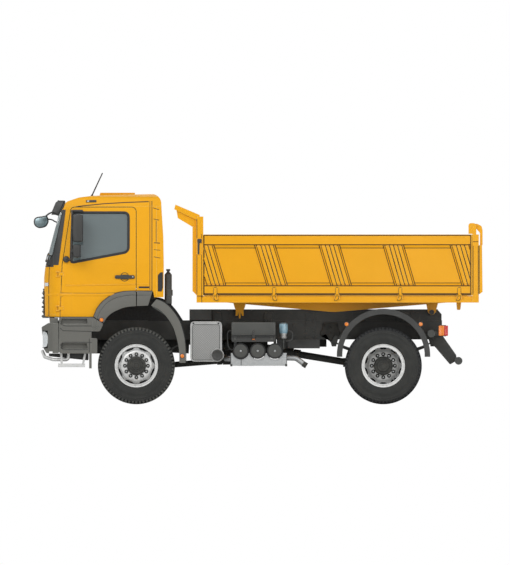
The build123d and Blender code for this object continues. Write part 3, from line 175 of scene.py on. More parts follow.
class Shape:
    """The mesh of one piece while it is put together; each step gives the shape back for the next one."""

    def __init__(self):
        self.mesh = bmesh.new()
        self.coat = 0

    def painted(self, coat):
        """What follows takes the finish with this number."""
        self.coat = coat
        return self

    def loft(self, rings, closed=False):
        """Skin through rings of equal length, capped unless the last ring meets the first."""
        rows = [[self.mesh.verts.new(point) for point in ring] for ring in rings]
        faces = []
        for low, high in zip(rows, rows[1:] + rows[:1] if closed else rows[1:]):
            faces += [(low[i - 1], low[i], high[i], high[i - 1]) for i in list(range(1, len(low))) + [0]]
        if not closed:
            faces += [rows[0][::-1], rows[-1]]
        for corners in faces:
            self.mesh.faces.new(corners).material_index = self.coat
        return self

    def plate(self, points, low, high, soft=0, axis="y"):
        """Flat outline made thick along an axis, with its rims rounded by soft."""
        points, steps = [Vector(p) for p in points], 3
        soft = min(soft, 0.49 * abs(high - low))
        rings = [(0, low), (0, high)]
        if soft > 0:
            turns = [math.pi / 2 * i / steps for i in range(steps + 1)]
            rings = [(soft * (1 - math.sin(a)), low + soft * (1 - math.cos(a))) for a in turns]
            rings += [(soft * (1 - math.sin(a)), high - soft * (1 - math.cos(a))) for a in turns[::-1]]
        return self.loft([[LAY[axis](p.x, p.y, depth) for p in inset(points, by)] for by, depth in rings])

    def slab(self, a, b, corner, low, high, soft=0, axis="y"):
        """Rounded rectangle made thick along an axis."""
        return self.plate(box_outline(a, b, corner), low, high, soft, axis)

    def box(self, x, y, z, soft, corner=None):
        """Rounded box between two values on each axis."""
        return self.slab(x, z, soft if corner is None else corner, *y, soft)

    def turn(self, profile, centre, axis="y", steps=48, closed=False):
        """Piece turned from (radius, offset) points about a line along an axis through centre."""
        return self.loft([[Vector(centre) + Vector(LAY[axis](a, b, offset)) for a, b in circle(radius, steps)]
                          for radius, offset in profile], closed)

    def tube(self, points, radius, steps=12):
        """Round bar through points; radius is one value or one per point."""
        points = [Vector(p) for p in points]
        radii = radius if isinstance(radius, (list, tuple)) else [radius] * len(points)
        across = (points[1] - points[0]).normalized().orthogonal().normalized()
        rings = []
        for i, point in enumerate(points):
            along = (points[min(i + 1, len(points) - 1)] - points[max(i - 1, 0)]).normalized()
            across = (across - along * across.dot(along)).normalized()
            up = along.cross(across)
            rings.append([point + across * a + up * b for a, b in circle(radii[i], steps)])
        return self.loft(rings)

    def bolt(self, x, y, z, size, high=None, washer=True):
        """Hexagon head with a chamfer, on a washer, that points to the left."""
        aim, place = Vector((0, 1, 0)), Vector((x, y, z))
        across = aim.orthogonal().normalized()
        up = aim.cross(across)
        high = size * 0.55 if high is None else high

        def ring(radius, lift, count):
            return [place + aim * lift + across * a + up * b for a, b in circle(radius, count)]

        if washer:
            self.loft([ring(size * 0.8, -1, 18), ring(size * 0.8, size * 0.1, 18)])
        corner = size / math.sqrt(3)
        return self.loft([ring(corner, 0, 6), ring(corner, high * 0.82, 6), ring(corner * 0.82, high, 6)])

    def bead(self, path, section, closed=False):
        """Strip along (point, normal) pairs; section is (across, lift) points."""
        rings, count = [], len(path)
        for i, (point, normal) in enumerate(path):
            before = path[i - 1][0] if closed or i else point
            after = path[(i + 1) % count][0] if closed or i < count - 1 else point
            across = (after - before).cross(normal).normalized()
            lift = across.cross(after - before).normalized()
            rings.append([point + across * a + lift * h for a, h in section])
        return self.loft(rings, closed)

    def strip(self, points, names, side, step, width, high):
        """Low strip along a flat line laid on CAD faces."""
        return self.bead(laid(points, names, side, step), low_strip(width, high))

    def trace(self, points, y, width, high, closed=False):
        """Low strip along a line on a flat face that looks to the left."""
        return self.bead([(Vector((x, y, z)), Vector((0, 1, 0))) for x, z in points], low_strip(width, high), closed)

    def skin(self, rows, low, high):
        """Thin sheet over rows of (point, normal) pairs, between two heights above them."""
        return self.loft([[p + n * high for p, n in row] + [p + n * low for p, n in reversed(row)] for row in rows])

    def done(self, name, body, finishes, side=1, replaces="", angle=38, slot=None):
        """Make the object, give it its finishes and let it ride on its body."""
        for corner in self.mesh.verts:
            x, y, z = corner.co
            corner.co = x / METRE, side * y / METRE, z / METRE
        bmesh.ops.recalc_face_normals(self.mesh, faces=self.mesh.faces)
        data = bpy.data.meshes.new(name)
        self.mesh.to_mesh(data)
        self.mesh.free()
        for made in finishes.split():
            data.materials.append(finish(made))
        data.shade_smooth()
        data.set_sharp_from_angle(angle=math.radians(angle))
        piece = bpy.data.objects.new(name, data)
        bpy.context.scene.collection.objects.link(piece)
        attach(piece, body)
        if replaces:
            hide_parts(*replaces.split())
        return piece


# ---------------------------------------------------------------- lying on the CAD surfaces
TREES = {}


def surface(names):
    """Search tree over the faces of the named CAD nodes."""
    if names not in TREES:
        points, faces = [], []
        for name in names.split():
            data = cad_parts[name].data
            first = len(points)
            points += [v.co * METRE for v in data.vertices]
            faces += [[first + i for i in p.vertices] for p in data.polygons]
        TREES[names] = BVHTree.FromPolygons(points, faces)
    return TREES[names]


def laid(points, names, side, step=25, closed=False):
    """(point, normal) pairs where a flat line meets the named nodes, seen from a side, or from ahead if side is 0."""
    tree, aim = surface(names), Vector((0, -side, 0) if side else (-1, 0, 0))
    points = [Vector(p) for p in points]
    if closed:
        points.append(points[0])
    dense = []
    for a, b in zip(points, points[1:]):
        parts = max(1, int((b - a).length / step))
        dense += [a.lerp(b, i / parts) for i in range(parts)]
    if not closed:
        dense.append(points[-1])
    made = []
    for flat in dense:
        start = Vector((flat.x, 0, flat.y) if side else (0, flat.x, flat.y)) - aim * 4000
        hit, normal, _, _ = tree.ray_cast(start, aim)
        made.append(None if hit is None else (hit, normal if normal.dot(aim) < 0 else -normal))
    known = [i for i, pair in enumerate(made) if pair]
    for i, pair in enumerate(made):
        if pair is None:
            point, normal = made[min(known, key=lambda k: abs(k - i))]
            point = point.copy()
            point[0 if side else 1], point[2] = dense[i]
            made[i] = (point, normal)
    return made


def girth(names, z, start_x, end_y, count, side):
    """(point, normal) pairs along a level cut, from start_x on the cab's side round its corner to end_y in front."""
    tree, line, rays = surface(names), [], 600
    middle = Vector((2550, 0, z))
    for i in range(rays + 1):
        angle = math.pi / 2 * (1 - i / rays)
        out = Vector((math.cos(angle), math.sin(angle) * side, 0))
        hit, normal = tree.ray_cast(middle + out * 2000, -out)[:2]
        if hit is not None and hit.x >= start_x and hit.y * side >= end_y:
            line.append((hit, normal if normal.dot(out) > 0 else -normal))
    reach = [0.0]
    for a, b in zip(line, line[1:]):
        reach.append(reach[-1] + (b[0] - a[0]).length)
    made, k = [], 0
    for i in range(count):
        want = reach[-1] * i / (count - 1)
        while k < len(reach) - 2 and reach[k + 1] < want:
            k += 1
        t = min(1.0, max(0.0, (want - reach[k]) / max(1e-6, reach[k + 1] - reach[k])))
        made.append((line[k][0].lerp(line[k + 1][0], t), line[k][1].lerp(line[k + 1][1], t).normalized()))
    return made


def at_height(line, z):
    """Where a line of (z, value) points is at a height."""
    for (z0, a), (z1, b) in zip(line, line[1:]):
        if z <= z1 or z1 == line[-1][0]:
            return a + (b - a) * min(1.0, max(0.0, (z - z0) / (z1 - z0)))


# ---------------------------------------------------------------- finishes
def put(tree, kind, inputs=None, **settings):
    """Add a shader node, set its own settings, and set or link its inputs."""
    made = tree.nodes.new("ShaderNode" + kind)
    for name, value in settings.items():
        setattr(made, name, value)
    for name, value in (inputs or {}).items():
        if isinstance(value, bpy.types.NodeSocket):
            tree.links.new(value, made.inputs[name])
        else:
            made.inputs[name].default_value = value
    return made


def shade(tone, factor):
    """A colour made darker or lighter."""
    return [min(1.0, c * factor) for c in tone[:3]] + [1.0]


def swatch(name):
    """A colour that the user may change."""
    return getattr(bpy.context.scene.lorry_colours, name)


class Finish:
    """A material while it is put together, in the piece's own coordinates."""

    def __init__(self, name, base, roll=0, **sockets):
        """Set its base colour and sockets; roll is how many millimetres its edges look rounded by."""
        self.made = bpy.data.materials.new(name)
        self.made.use_nodes = True
        self.tree = self.made.node_tree
        self.made.diffuse_color = self.tone(base)
        self.set(Base_Color=self.tone(base), **sockets)
        self.place = self.put("TexCoord", None, "Object")
        self.soft = None
        if roll:
            self.soft = self.put("Bevel", {"Radius": roll / METRE}, "Normal", samples=4)
            flat = self.put("NewGeometry", None, "Normal")
            along = self.put("VectorMath", {0: self.soft, 1: flat}, "Value", operation="DOT_PRODUCT")
            # mask of the rounded edges, where finishes paint a paler colour: partly wear, partly a painted highlight
            self.edge = self.spread(along, 0.99, 0.86)

    @staticmethod
    def tone(value):
        return linear(value) if isinstance(value, str) else value

    def put(self, kind, inputs, output, **settings):
        """Add a shader node and give back its output."""
        return put(self.tree, kind, inputs, **settings).outputs[output]

    def set(self, **sockets):
        """Set or link the shader's sockets."""
        shader = self.tree.nodes["Principled BSDF"]
        for name, value in sockets.items():
            socket = shader.inputs[name.replace("_", " ")]
            if isinstance(value, bpy.types.NodeSocket):
                self.tree.links.new(value, socket)
            else:
                socket.default_value = value

    def grain(self, per_metre, detail=2.0, rough=0.5, place=None):
        """Cloudy noise with so many clouds to the metre."""
        return self.put("TexNoise", {"Vector": place or self.place, "Scale": per_metre, "Detail": detail,
                                     "Roughness": rough}, "Fac")

    def cells(self, per_metre, output="Distance"):
        """Cells with so many to the metre."""
        return self.put("TexVoronoi", {"Vector": self.place, "Scale": per_metre}, output)

    def wave(self, scale, way, place=None, **inputs):
        """Straight bands across one way."""
        return self.put("TexWave", {"Vector": place or self.place, "Scale": scale, **inputs}, "Fac",
                        bands_direction=way)

    def spread(self, factor, low, high, start=0.0, end=1.0):
        """Spread a factor over a range of values."""
        return self.put("MapRange", {"Value": factor, "From Min": low, "From Max": high, "To Min": start,
                                     "To Max": end}, "Result")

    def clouds(self, per_metre, detail, low, high, most=1.0, rough=0.5):
        """Soft patches that go from 0 to most."""
        return self.spread(self.grain(per_metre, detail, rough), low, high, 0.0, most)

    def blend(self, factor, first, second):
        """Colour that goes from first to second with factor."""
        return self.put("Mix", {0: factor, 6: self.tone(first), 7: self.tone(second)}, 2, data_type="RGBA")

    def paint(self, factor, first, second, rubbed=None):
        """Base colour that goes from first to second with factor, and to a paler edge colour along the edges, which
        stands partly for wear and partly for a painted highlight.
        """
        made = self.blend(factor, first, second)
        self.set(Base_Color=self.blend(self.edge, made, rubbed) if rubbed else made)

    def gloss(self, factor, low, high, start, end):
        """Roughness that goes from start to end with factor."""
        self.set(Roughness=self.spread(factor, low, high, start, end))

    def bump(self, height, millimetres, strength=1.0):
        """Relief of so many millimetres, and the material as it then is."""
        inputs = {"Height": height, "Distance": millimetres / METRE, "Strength": strength}
        if self.soft:
            inputs["Normal"] = self.soft
        self.set(Normal=self.put("Bump", inputs, "Normal"))
        return self.made


def lorry_enamel():
    """Two-pack polyurethane enamel sprayed on primed steel.

    Seen: an even, glossy coat with faint orange peel, edges painted brighter, partly as paint worn thinner there and
    partly as a painted highlight, and a film of dust that dulls it in large soft clouds. The peel is drawn at 14 mm, as
    4 mm can't show.
    """
    base = swatch("body")
    made = Finish("two_pack_enamel", base, 7, Roughness=0.4, Specular_IOR_Level=0.2, Coat_Weight=0.05,
                  Coat_Roughness=0.15)
    dust = made.clouds(1.6, 3, 0.35, 0.7, 0.35)
    # edges painted FFD774: paint worn thin, and a painted highlight
    made.paint(dust, base, shade(base, 0.86), "FFD774")
    made.gloss(dust, 0, 0.35, 0.36, 0.48)
    return made.bump(made.grain(70), 0.25, 0.4)


def chassis_enamel():
    """One-pack chassis enamel, rolled and sprayed over shot-blasted steel.

    Seen: dark satin grey with a grain of 6 mm, edges painted paler, partly rubbed and partly as a painted highlight,
    and road dust lying in clouds.
    """
    base = swatch("chassis")
    made = Finish("chassis_enamel", base, 5, Roughness=0.55)
    made.paint(made.clouds(5, 4, 0.45, 0.75, 0.4, 0.6), base, "55554F", "6C6D69")
    return made.bump(made.grain(160), 0.4, 0.5)


def sand_casting():
    """Grey iron cast in sand and dipped in black primer.

    Seen: dull dark metal with the coarse skin of the sand, drawn at 8 mm.
    """
    made = Finish("sand_cast_iron", "2F302E", 6, Roughness=0.7, Metallic=0.25)
    made.paint(made.clouds(9, 4, 0.3, 0.8), "2B2C2A", "45443F")
    return made.bump(made.grain(120, 3), 1.2, 0.6)


def silver_lacquer():
    """Wheel silver: aluminium-flake lacquer baked on pressed steel.

    Seen: bright soft metal, with flake sparkle drawn at 5 mm and brake dust darkening it in small clouds.
    """
    base = swatch("silver")
    made = Finish("wheel_silver_lacquer", base, 4, Roughness=0.4, Metallic=0.4)
    # edges painted EDEDEA: partly lacquer rubbed thin, partly a painted highlight
    made.paint(made.clouds(22, 4, 0.5, 0.75, 0.45, 0.6), base, "8F8F8B", "EDEDEA")
    made.gloss(made.grain(210), 0.3, 0.7, 0.34, 0.48)
    return made.bump(made.grain(60), 0.2, 0.4)


def moulded_polypropylene():
    """Filled polypropylene, injection moulded with a spark-eroded grain.

    Seen: mid grey matt plastic whose fine leather grain is drawn at 7 mm, greyer where it is scuffed; its edges are
    painted paler, partly as scuffs and partly as a painted highlight.
    """
    base = swatch("plastic")
    made = Finish("moulded_polypropylene", base, 6, Roughness=0.6, IOR=1.49)
    made.paint(made.clouds(2.2, 3, 0.35, 0.7, 0.4), base, shade(base, 0.85), "A2A29A")
    return made.bump(made.cells(140), 0.4, 0.5)


def moulded_abs():
    """ABS moulded with a fine matt grain, coloured black right through.

    Seen: near black, its edges painted paler as a painted sheen, and grain drawn at 5 mm.
    """
    made = Finish("moulded_black_abs", "2C2C2A", 5, Roughness=0.5, IOR=1.53)
    made.paint(made.edge, "2C2C2A", "5A5A56")
    made.gloss(made.grain(6, 3), 0.3, 0.7, 0.42, 0.6)
    return made.bump(made.grain(200), 0.3, 0.5)


def tyre_rubber():
    """Carbon-black tread rubber pressed in a steel mould.

    Seen: charcoal, very matt, paler dust in clouds over the walls, and a grain of 6 mm.
    """
    base = swatch("rubber")
    made = Finish("tread_rubber", base, 3, Roughness=0.82, IOR=1.52)
    # edges painted 52524F: partly scuffed rubber, partly a painted highlight
    made.paint(made.clouds(7, 4, 0.4, 0.75, 0.5, 0.6), base, "3D3C38", "52524F")
    return made.bump(made.grain(170, 3), 0.5, 0.6)


def scuffed_rubber():
    """Tread rubber on the lugs' worn faces, scuffed by the road to a paler grey with a coarse torn grain."""
    made = Finish("scuffed_tread_rubber", "4F4F4B", Roughness=0.9, IOR=1.52)
    made.paint(made.clouds(24, 4, 0.35, 0.75, 1.0, 0.6), "484844", "62625D")
    return made.bump(made.grain(130, 3), 0.6)


def door_seal_rubber():
    """EPDM rubber extruded as a seal, black and matt with a faint bloom."""
    made = Finish("extruded_seal_rubber", "1A1B1C", Roughness=0.65, IOR=1.52)
    made.paint(made.clouds(30, 3, 0.4, 0.7), "161718", "242526")
    return made.bump(made.grain(300), 0.2)


def float_glass(name, tint, through):
    """Toughened float glass, tinted in the melt, with a road film that greys it in soft clouds."""
    made = Finish(name, tint, Roughness=0.03, IOR=1.52, Transmission_Weight=through, Coat_Weight=0.3,
                  Coat_Roughness=0.02)
    film = made.clouds(2.5, 3, 0.35, 0.7, 0.3)
    made.paint(film, tint, shade(tint, 1.18))
    made.gloss(film, 0, 0.3, 0.03, 0.09)
    return made.made


def tinted_glass():
    """Side and rear glass, tinted grey-green."""
    return float_glass("tinted_float_glass", swatch("glass"), 0.45)


def windscreen_glass():
    """Laminated windscreen, paler than the side glass."""
    return float_glass("laminated_float_glass", linear("9CA8A8"), 0.5)


def mirror_glass():
    """Float glass silvered on its back, which gives a cool bright mirror with dust in small clouds."""
    made = Finish("silvered_mirror_glass", "8C9DA0", Roughness=0.08, Metallic=0.6)
    film = made.clouds(14, 3, 0.4, 0.75)
    made.paint(film, "8C9DA0", "788B91")
    made.gloss(film, 0, 1, 0.14, 0.3)
    return made.made


def acrylic_lens(name, tint, through):
    """Acrylic lens moulded with rows of small prisms, drawn at 12 mm, over a dark or bright lamp."""
    made = Finish(name, tint, Roughness=0.12, IOR=1.49, Transmission_Weight=through, Coat_Weight=0.4,
                  Coat_Roughness=0.05)
    ribs = made.wave(26.0, "Z")
    made.paint(ribs, tint, shade(tint, 0.8))
    return made.bump(ribs, 0.6)


def amber_lens():
    """Amber side lamp and direction lamp lens."""
    return acrylic_lens("amber_acrylic_lens", swatch("amber"), 0.1)


def red_lens():
    """Red tail lamp lens."""
    return acrylic_lens("red_acrylic_lens", swatch("red"), 0.15)


def clear_lens():
    """Clear polycarbonate headlamp lens, hard coated."""
    return acrylic_lens("clear_polycarbonate_lens", linear("EEF2F2"), 0.12)


def rolled_aluminium():
    """Mill-finish aluminium sheet, rolled and pressed for the tank's shell.

    Seen: pale grey metal, weathered in faint clouds, with fine streaks along the roll.
    """
    made = Finish("rolled_aluminium", "A4A4A1", 5, Roughness=0.42, Metallic=0.6)
    # edges painted EAEAE8: partly worn metal, partly a painted highlight
    made.paint(made.clouds(5, 3, 0.3, 0.7), "9C9C9A", "AEAEAC", "EAEAE8")
    streak = made.put("Mapping", {"Vector": made.place, "Scale": (6.0, 6.0, 160.0)}, "Vector")
    lines = made.grain(2.0, 2, place=streak)
    made.gloss(lines, 0.3, 0.7, 0.34, 0.5)
    return made.bump(lines, 0.15, 0.5)


def embossed_aluminium():
    """Aluminium sheet embossed with rows of small diamonds, drawn 18 mm apart.

    Seen: a paler and darker weave of raised diamonds, dull.
    """
    made = Finish("embossed_aluminium", "969694", Roughness=0.5, Metallic=0.5)
    rows = [made.wave(17.5, "X", made.put("Mapping", {"Vector": made.place, "Rotation": (0.0, turn, 0.0)}, "Vector"))
            for turn in (0.785, -0.785)]
    raised = made.put("Math", {0: rows[0], 1: rows[1]}, "Value", operation="MULTIPLY")
    made.paint(raised, "767674", "BDBDBB")
    return made.bump(raised, 2.5)


def powder_coat():
    """Grey polyester powder baked on pressed steel boxes and air tanks.

    Seen: mid-dark grey, satin, with a fine orange peel drawn at 8 mm and dust lying in clouds.
    """
    made = Finish("grey_powder_coat", "3F403D", 7, Roughness=0.5)
    # edges painted 6E6E69: partly worn coat, partly a painted highlight
    made.paint(made.clouds(4, 3, 0.45, 0.75, 0.4, 0.6), "3F403D", "4E4E4A", "6E6E69")
    return made.bump(made.grain(130), 0.3, 0.4)


def seam_sealer():
    """Polyurethane seam sealer run into the joints of the bed's pressings, dark and matt with a wavy skin."""
    made = Finish("seam_sealer", "1E1406", Roughness=0.75)
    ripple = made.clouds(18, 3, 0.35, 0.7)
    made.paint(ripple, "1A1105", "2B1D09")
    return made.bump(ripple, 0.5)


def aluminised_steel():
    """Steel sheet hot-dipped in aluminium and seam welded, as silencers are.

    Seen: smooth silver with small spangles of 15 mm, its edges painted paler, partly as wear and partly as a painted
    highlight.
    """
    made = Finish("aluminised_steel", "A6A8A8", 5, Roughness=0.4, Metallic=0.6)
    tone = made.put("SeparateColor", {"Color": made.cells(65.0, "Color")}, "Red")
    made.paint(made.spread(tone, 0, 1, 0, 0.4), "ACAEAE", "8F9191", "E0E0E0")
    return made.bump(made.grain(40), 0.25, 0.4)


def zinc_plate():
    """Bright zinc plate on cold-headed steel, for bolts, nuts and handles, dulled in spots."""
    made = Finish("bright_zinc_plate", "A9ABAB", Roughness=0.38, Metallic=0.9)
    dull = made.clouds(90, 3, 0.4, 0.7)
    made.paint(dull, "B4B6B6", "7E7F7E")
    made.gloss(dull, 0, 1, 0.3, 0.55)
    return made.made


def hard_chrome():
    """Hard chrome ground on the tipping ram's stages, bright with fine turned rings and an oil film."""
    made = Finish("ground_hard_chrome", "C4C8CA", Roughness=0.18, Metallic=1.0)
    rings = made.wave(60.0, "Z", Distortion=0.6)
    made.paint(rings, "C4C8CA", "A8ABAC")
    made.gloss(rings, 0, 1, 0.12, 0.26)
    return made.made


def bowl_polycarbonate():
    """Blue-tinted polycarbonate bowl of a filter, hazed in soft patches."""
    made = Finish("blue_polycarbonate", "93B8C9", Roughness=0.2, IOR=1.58, Transmission_Weight=0.25, Coat_Weight=0.3)
    made.paint(made.clouds(25, 3, 0.3, 0.7), "8CB2C4", "A8CBD8")
    return made.made


def seat_cloth():
    """Flat-woven polyester seat cloth, its 1.5 mm threads drawn as a weave of 9 mm.

    Seen: soft grey-blue with a woven bump and a faint sheen.
    """
    base = swatch("seat")
    made = Finish("woven_seat_cloth", base, Roughness=0.92, Sheen_Weight=0.3, Sheen_Roughness=0.5)
    weave = made.put("Math", {0: made.wave(35.0, "Y"), 1: made.wave(35.0, "X")}, "Value", operation="MULTIPLY")
    made.paint(weave, base, shade(base, 1.35))
    return made.bump(weave, 0.8)


def skinned_foam():
    """Polyurethane foam with a moulded vinyl skin, for dashboard, door cards and steering wheel."""
    made = Finish("skinned_foam", "46464A", 8, Roughness=0.62, IOR=1.5)
    # edges painted 626267: partly worn skin, partly a painted highlight
    made.paint(made.edge, "434347", "626267")
    return made.bump(made.cells(180), 0.5, 0.6)


def studio_paint():
    """Pale floor paint with faint clouds, as a studio floor has."""
    made = Finish("painted_studio_floor", "E9E9E7", Roughness=0.7)
    made.paint(made.clouds(0.8, 3, 0.3, 0.7), "E6E6E4", "EEEEEC")
    return made.made


# finish: its material, and the slot that its pieces go in
FINISHES = {
    "enamel": (lorry_enamel, "yellow_paint"), "chassis": (chassis_enamel, "chassis_paint"),
    "powder": (powder_coat, "chassis_paint"), "casting": (sand_casting, "grey_casting"),
    "silver": (silver_lacquer, "silver_paint"), "tank": (rolled_aluminium, "silver_paint"),
    "embossed": (embossed_aluminium, "silver_paint"), "exhaust": (aluminised_steel, "silver_paint"),
    "plastic": (moulded_polypropylene, "grey_plastic"), "black": (moulded_abs, "black_plastic"),
    "seal": (door_seal_rubber, "black_plastic"), "sealer": (seam_sealer, "black_plastic"),
    "rubber": (tyre_rubber, "tyre_rubber"), "tread": (scuffed_rubber, "tyre_rubber"),
    "glass": (tinted_glass, "tinted_glass"), "screen": (windscreen_glass, "tinted_glass"),
    "mirror": (mirror_glass, "lamp_lens"), "amber": (amber_lens, "lamp_lens"), "red": (red_lens, "lamp_lens"),
    "clear": (clear_lens, "lamp_lens"), "bowl": (bowl_polycarbonate, "lamp_lens"), "zinc": (zinc_plate, "bare_steel"),
    "chrome": (hard_chrome, "bare_steel"), "cloth": (seat_cloth, "cab_trim"), "foam": (skinned_foam, "cab_trim"),
}
MADE = {}


def finish(name):
    """The material for a finish, made once."""
    if name not in MADE:
        MADE[name] = FINISHES[name][0]()
    return MADE[name]


# ---------------------------------------------------------------- wheels
FRONT_AXLE_X, REAR_AXLE_X, HUB_Z = 1774, -1826, 562
FRONT_Y, TWIN_Y, REAR_HUB_Y = 1020, (1078, 732), 905
# beyond CARCASS_R the carcass between the lugs is painted black, as shade in the tread's grooves
TYRE_R, CARCASS_R = 562, 513
FRONT_LOBES, REAR_LOBES = 8, 10
# tyre wall up to its tread (radius, offset from the tyre's middle); its rings stand 2 to 3 mm proud
WALL = ((289.5, 97), (304, 103.5), (319.5, 106), (321.5, 127), (329, 138), (335, 144), (341, 142), (385, 153),
        (400, 156.5), (425, 156.7), (430, 154.5), (470, 154.5), (474, 156.5), (480, 156.5), (484, 153), (503, 150),
        (507, 151.5), (512, 150), (520, 144))
# rim section (radius, offset); the outer half, which the inner half mirrors
RIM_EDGE = ((270.2, 112), (272.5, 118.5), (279, 120.5), (288, 118), (300, 116.5), (309, 120), (316, 120.5),
            (317.8, 115), (316.5, 108.5), (302, 106), (288.5, 104.5), (288, 50))
# wheel disc from its rim to its middle: radius and offset at a lobe, then between two lobes
DISC = ((270, 88, 240, 124), (268.5, 100, 239, 134), (260, 114, 235, 143), (248, 137, 229, 153), (232, 157, 222, 164),
        (216, 168, 213, 169), (203, 173, 203, 173), (196, 174.2, 196, 174.2), (141, 174.2, 141, 174.2),
        (136, 171.5, 136, 171.5), (136, 162, 136, 162), (203, 161.5, 203, 161.5), (228, 148, 218, 152),
        (244, 128, 227, 142), (256, 105, 233, 132))


def mirrored(half):
    """A section's outer half with its inner half after it."""
    return [*half] + [(r, -offset) for r, offset in reversed(half)]


def around(x, y, radius, angle):
    """Point at an angle round a wheel's axle."""
    return x + radius * math.cos(angle), y, HUB_Z + radius * math.sin(angle)


def tyre(shape, x, y, lugs, groove):
    """Carcass turned in one skin, then tread lugs on it: two shoulder rows and two middle rows."""
    wall = WALL + ((TYRE_R - groove - 8, 128), (TYRE_R - groove, 112))
    shape.painted(0).turn(mirrored(wall), (x, y, HUB_Z), steps=2 * lugs, closed=True)
    # the carcass's faces beyond CARCASS_R take finish 1, the black seal rubber: painted shade in the grooves between
    # the lugs
    for face in shape.mesh.faces:
        centre = face.calc_center_median()
        if math.hypot(centre.x - x, centre.z - HUB_Z) > CARCASS_R:
            face.material_index = 1
    shape.painted(2)
    pitch, foot = 2 * math.pi / lugs, TYRE_R - groove - 4
    # section of a lug (radius, offset), its angular width in pitches, and its stagger
    shoulder = ((foot, 46), (TYRE_R, 50), (TYRE_R, 110), (554.5, 128), (540, 142.5), (522, 151), (518, 146),
                (foot - 12, 120))
    middle = ((foot, 4), (TYRE_R, 6), (TYRE_R, 40), (foot, 42))
    for index in range(lugs):
        for side, shift in ((1, 0.0), (-1, 0.25)):
            for section, wide, stagger in ((shoulder, 0.56, 0.0), (middle, 0.66, 0.5)):
                centre = (index + stagger + shift) * pitch
                shape.loft([[around(x, y + side * offset, r, centre + end * wide * pitch * (0.88 if r > foot else 1))
                             for r, offset in section] for end in (-0.5, 0.5)])


def wheel(shape, x, y, facing, lobes):
    """Pressed wheel: one turned rim, and a dished disc whose edge is cut back between its lobes."""
    shape.turn(mirrored(RIM_EDGE), (x, y, HUB_Z), steps=96, closed=True)
    steps, rings = 12 * lobes, []
    for r, offset, vent_r, vent_offset in DISC:
        ring = []
        for angle in (2 * math.pi * i / steps for i in range(steps)):
            wave = min(1.0, max(0.0, 1.35 * (0.5 - 0.5 * math.cos(lobes * angle)) - 0.05))
            wave = wave * wave * (3 - 2 * wave)
            out, radius = offset + (vent_offset - offset) * wave, r + (vent_r - r) * wave
            ring.append(around(x, y + facing * out, radius, angle))
        rings.append(ring)
    shape.loft(rings, True)


class LORRY_OT_tyres(bpy.types.Operator):
    """Build the six block-tread tyres"""
    bl_idname = "lorry.tyres"
    bl_label = "Tyres"

    def execute(self, context):
        sizes = context.scene.lorry_sizes
        for at, side in SIDES:
            for end, x, rows in (("front", FRONT_AXLE_X, (FRONT_Y,)), ("rear", REAR_AXLE_X, TWIN_Y)):
                shape = Shape()
                for y in rows:
                    tyre(shape, x, y, sizes.lugs, sizes.groove * METRE)
                # finish seal is the black painted shade between the lugs
                shape.done(f"treaded_tyre_{end}_{at}", f"wheel_{end}_{at}", "rubber seal tread", side,
                           f"tyre_{end}_{at}", 30)
        return {"FINISHED"}


class LORRY_OT_wheels(bpy.types.Operator):
    """Build the pressed steel wheels and their valves"""
    bl_idname = "lorry.wheels"
    bl_label = "Wheels"

    def execute(self, context):
        twin = ((TWIN_Y[0], -1, REAR_LOBES), (TWIN_Y[1], 1, REAR_LOBES))
        for at, side in SIDES:
            for name, end, x, discs, lean in (("wheel", "front", FRONT_AXLE_X, ((FRONT_Y, 1, FRONT_LOBES),), 0.35),
                                              ("wheels", "rear", REAR_AXLE_X, twin, -2.2)):
                shape = Shape()
                for disc in discs:
                    wheel(shape, x, *disc)
                shape.done(f"pressed_{name}_{end}_{at}", f"wheel_{end}_{at}", "silver", side, f"rim_{end}_{at}")
                out = Vector((math.cos(lean), 0, math.sin(lean)))
                root = Vector((x, discs[0][0], HUB_Z)) + out * 262
                stem = [root + Vector((0, y, 0)) - out * back for y, back in ((60, 0), (96, 0), (104, 6), (112, 16))]
                Shape().tube(stem, [5, 4.5, 4.5, 5]).turn(((8, 50), (8, 62), (5.5, 66)), root, steps=12).done(
                    f"tyre_valve_{end}_{at}", f"wheel_{end}_{at}", "zinc", side)
        return {"FINISHED"}


# for each axle: hub with its drum (radius, offset), its bolts (count, radius, offset, size), the black ring in the
# wheel that stands for the drum's lip and paints the shade inside the wheel (inner and outer radius, offsets), and
# where the dust shield and the nuts stand
HUBS = (
    ("front", FRONT_AXLE_X, FRONT_Y,
     ((118, -28), (204.5, -28), (204.5, -12), (200, -8), (200, 118), (195, 126), (156, 130), (140, 152), (134.5, 158),
      (134.5, 196), (119, 206.5), (100, 206.5), (96, 203.5), (88, 203.5), (84, 207.5), (64, 207.5), (59.5, 215.5),
      (40, 215.5), (37, 212.5), (32, 212.5), (30, 216.5), (0.5, 216.5)),
     (10, 109, 206, 14), (201, 269, 76, 82), 972, 132, FRONT_Y + 173.8),
    ("rear", REAR_AXLE_X, REAR_HUB_Y,
     ((120, -253), (204.5, -253), (204.5, -240), (200, -236), (200, -62), (190, -47), (142, -40), (138.5, -10),
      (138.5, 151), (121, 166.5), (100, 166.5), (89, 166.2), (83.5, 183.2), (60, 183.2), (57, 180), (50, 180),
      (47, 184.5), (30, 184.5), (28, 181.5), (0.5, 181.5)),
     (8, 106, 165.5, 16), (220, 268, -2, 2), 632, 130, TWIN_Y[0] - 161.2),
)


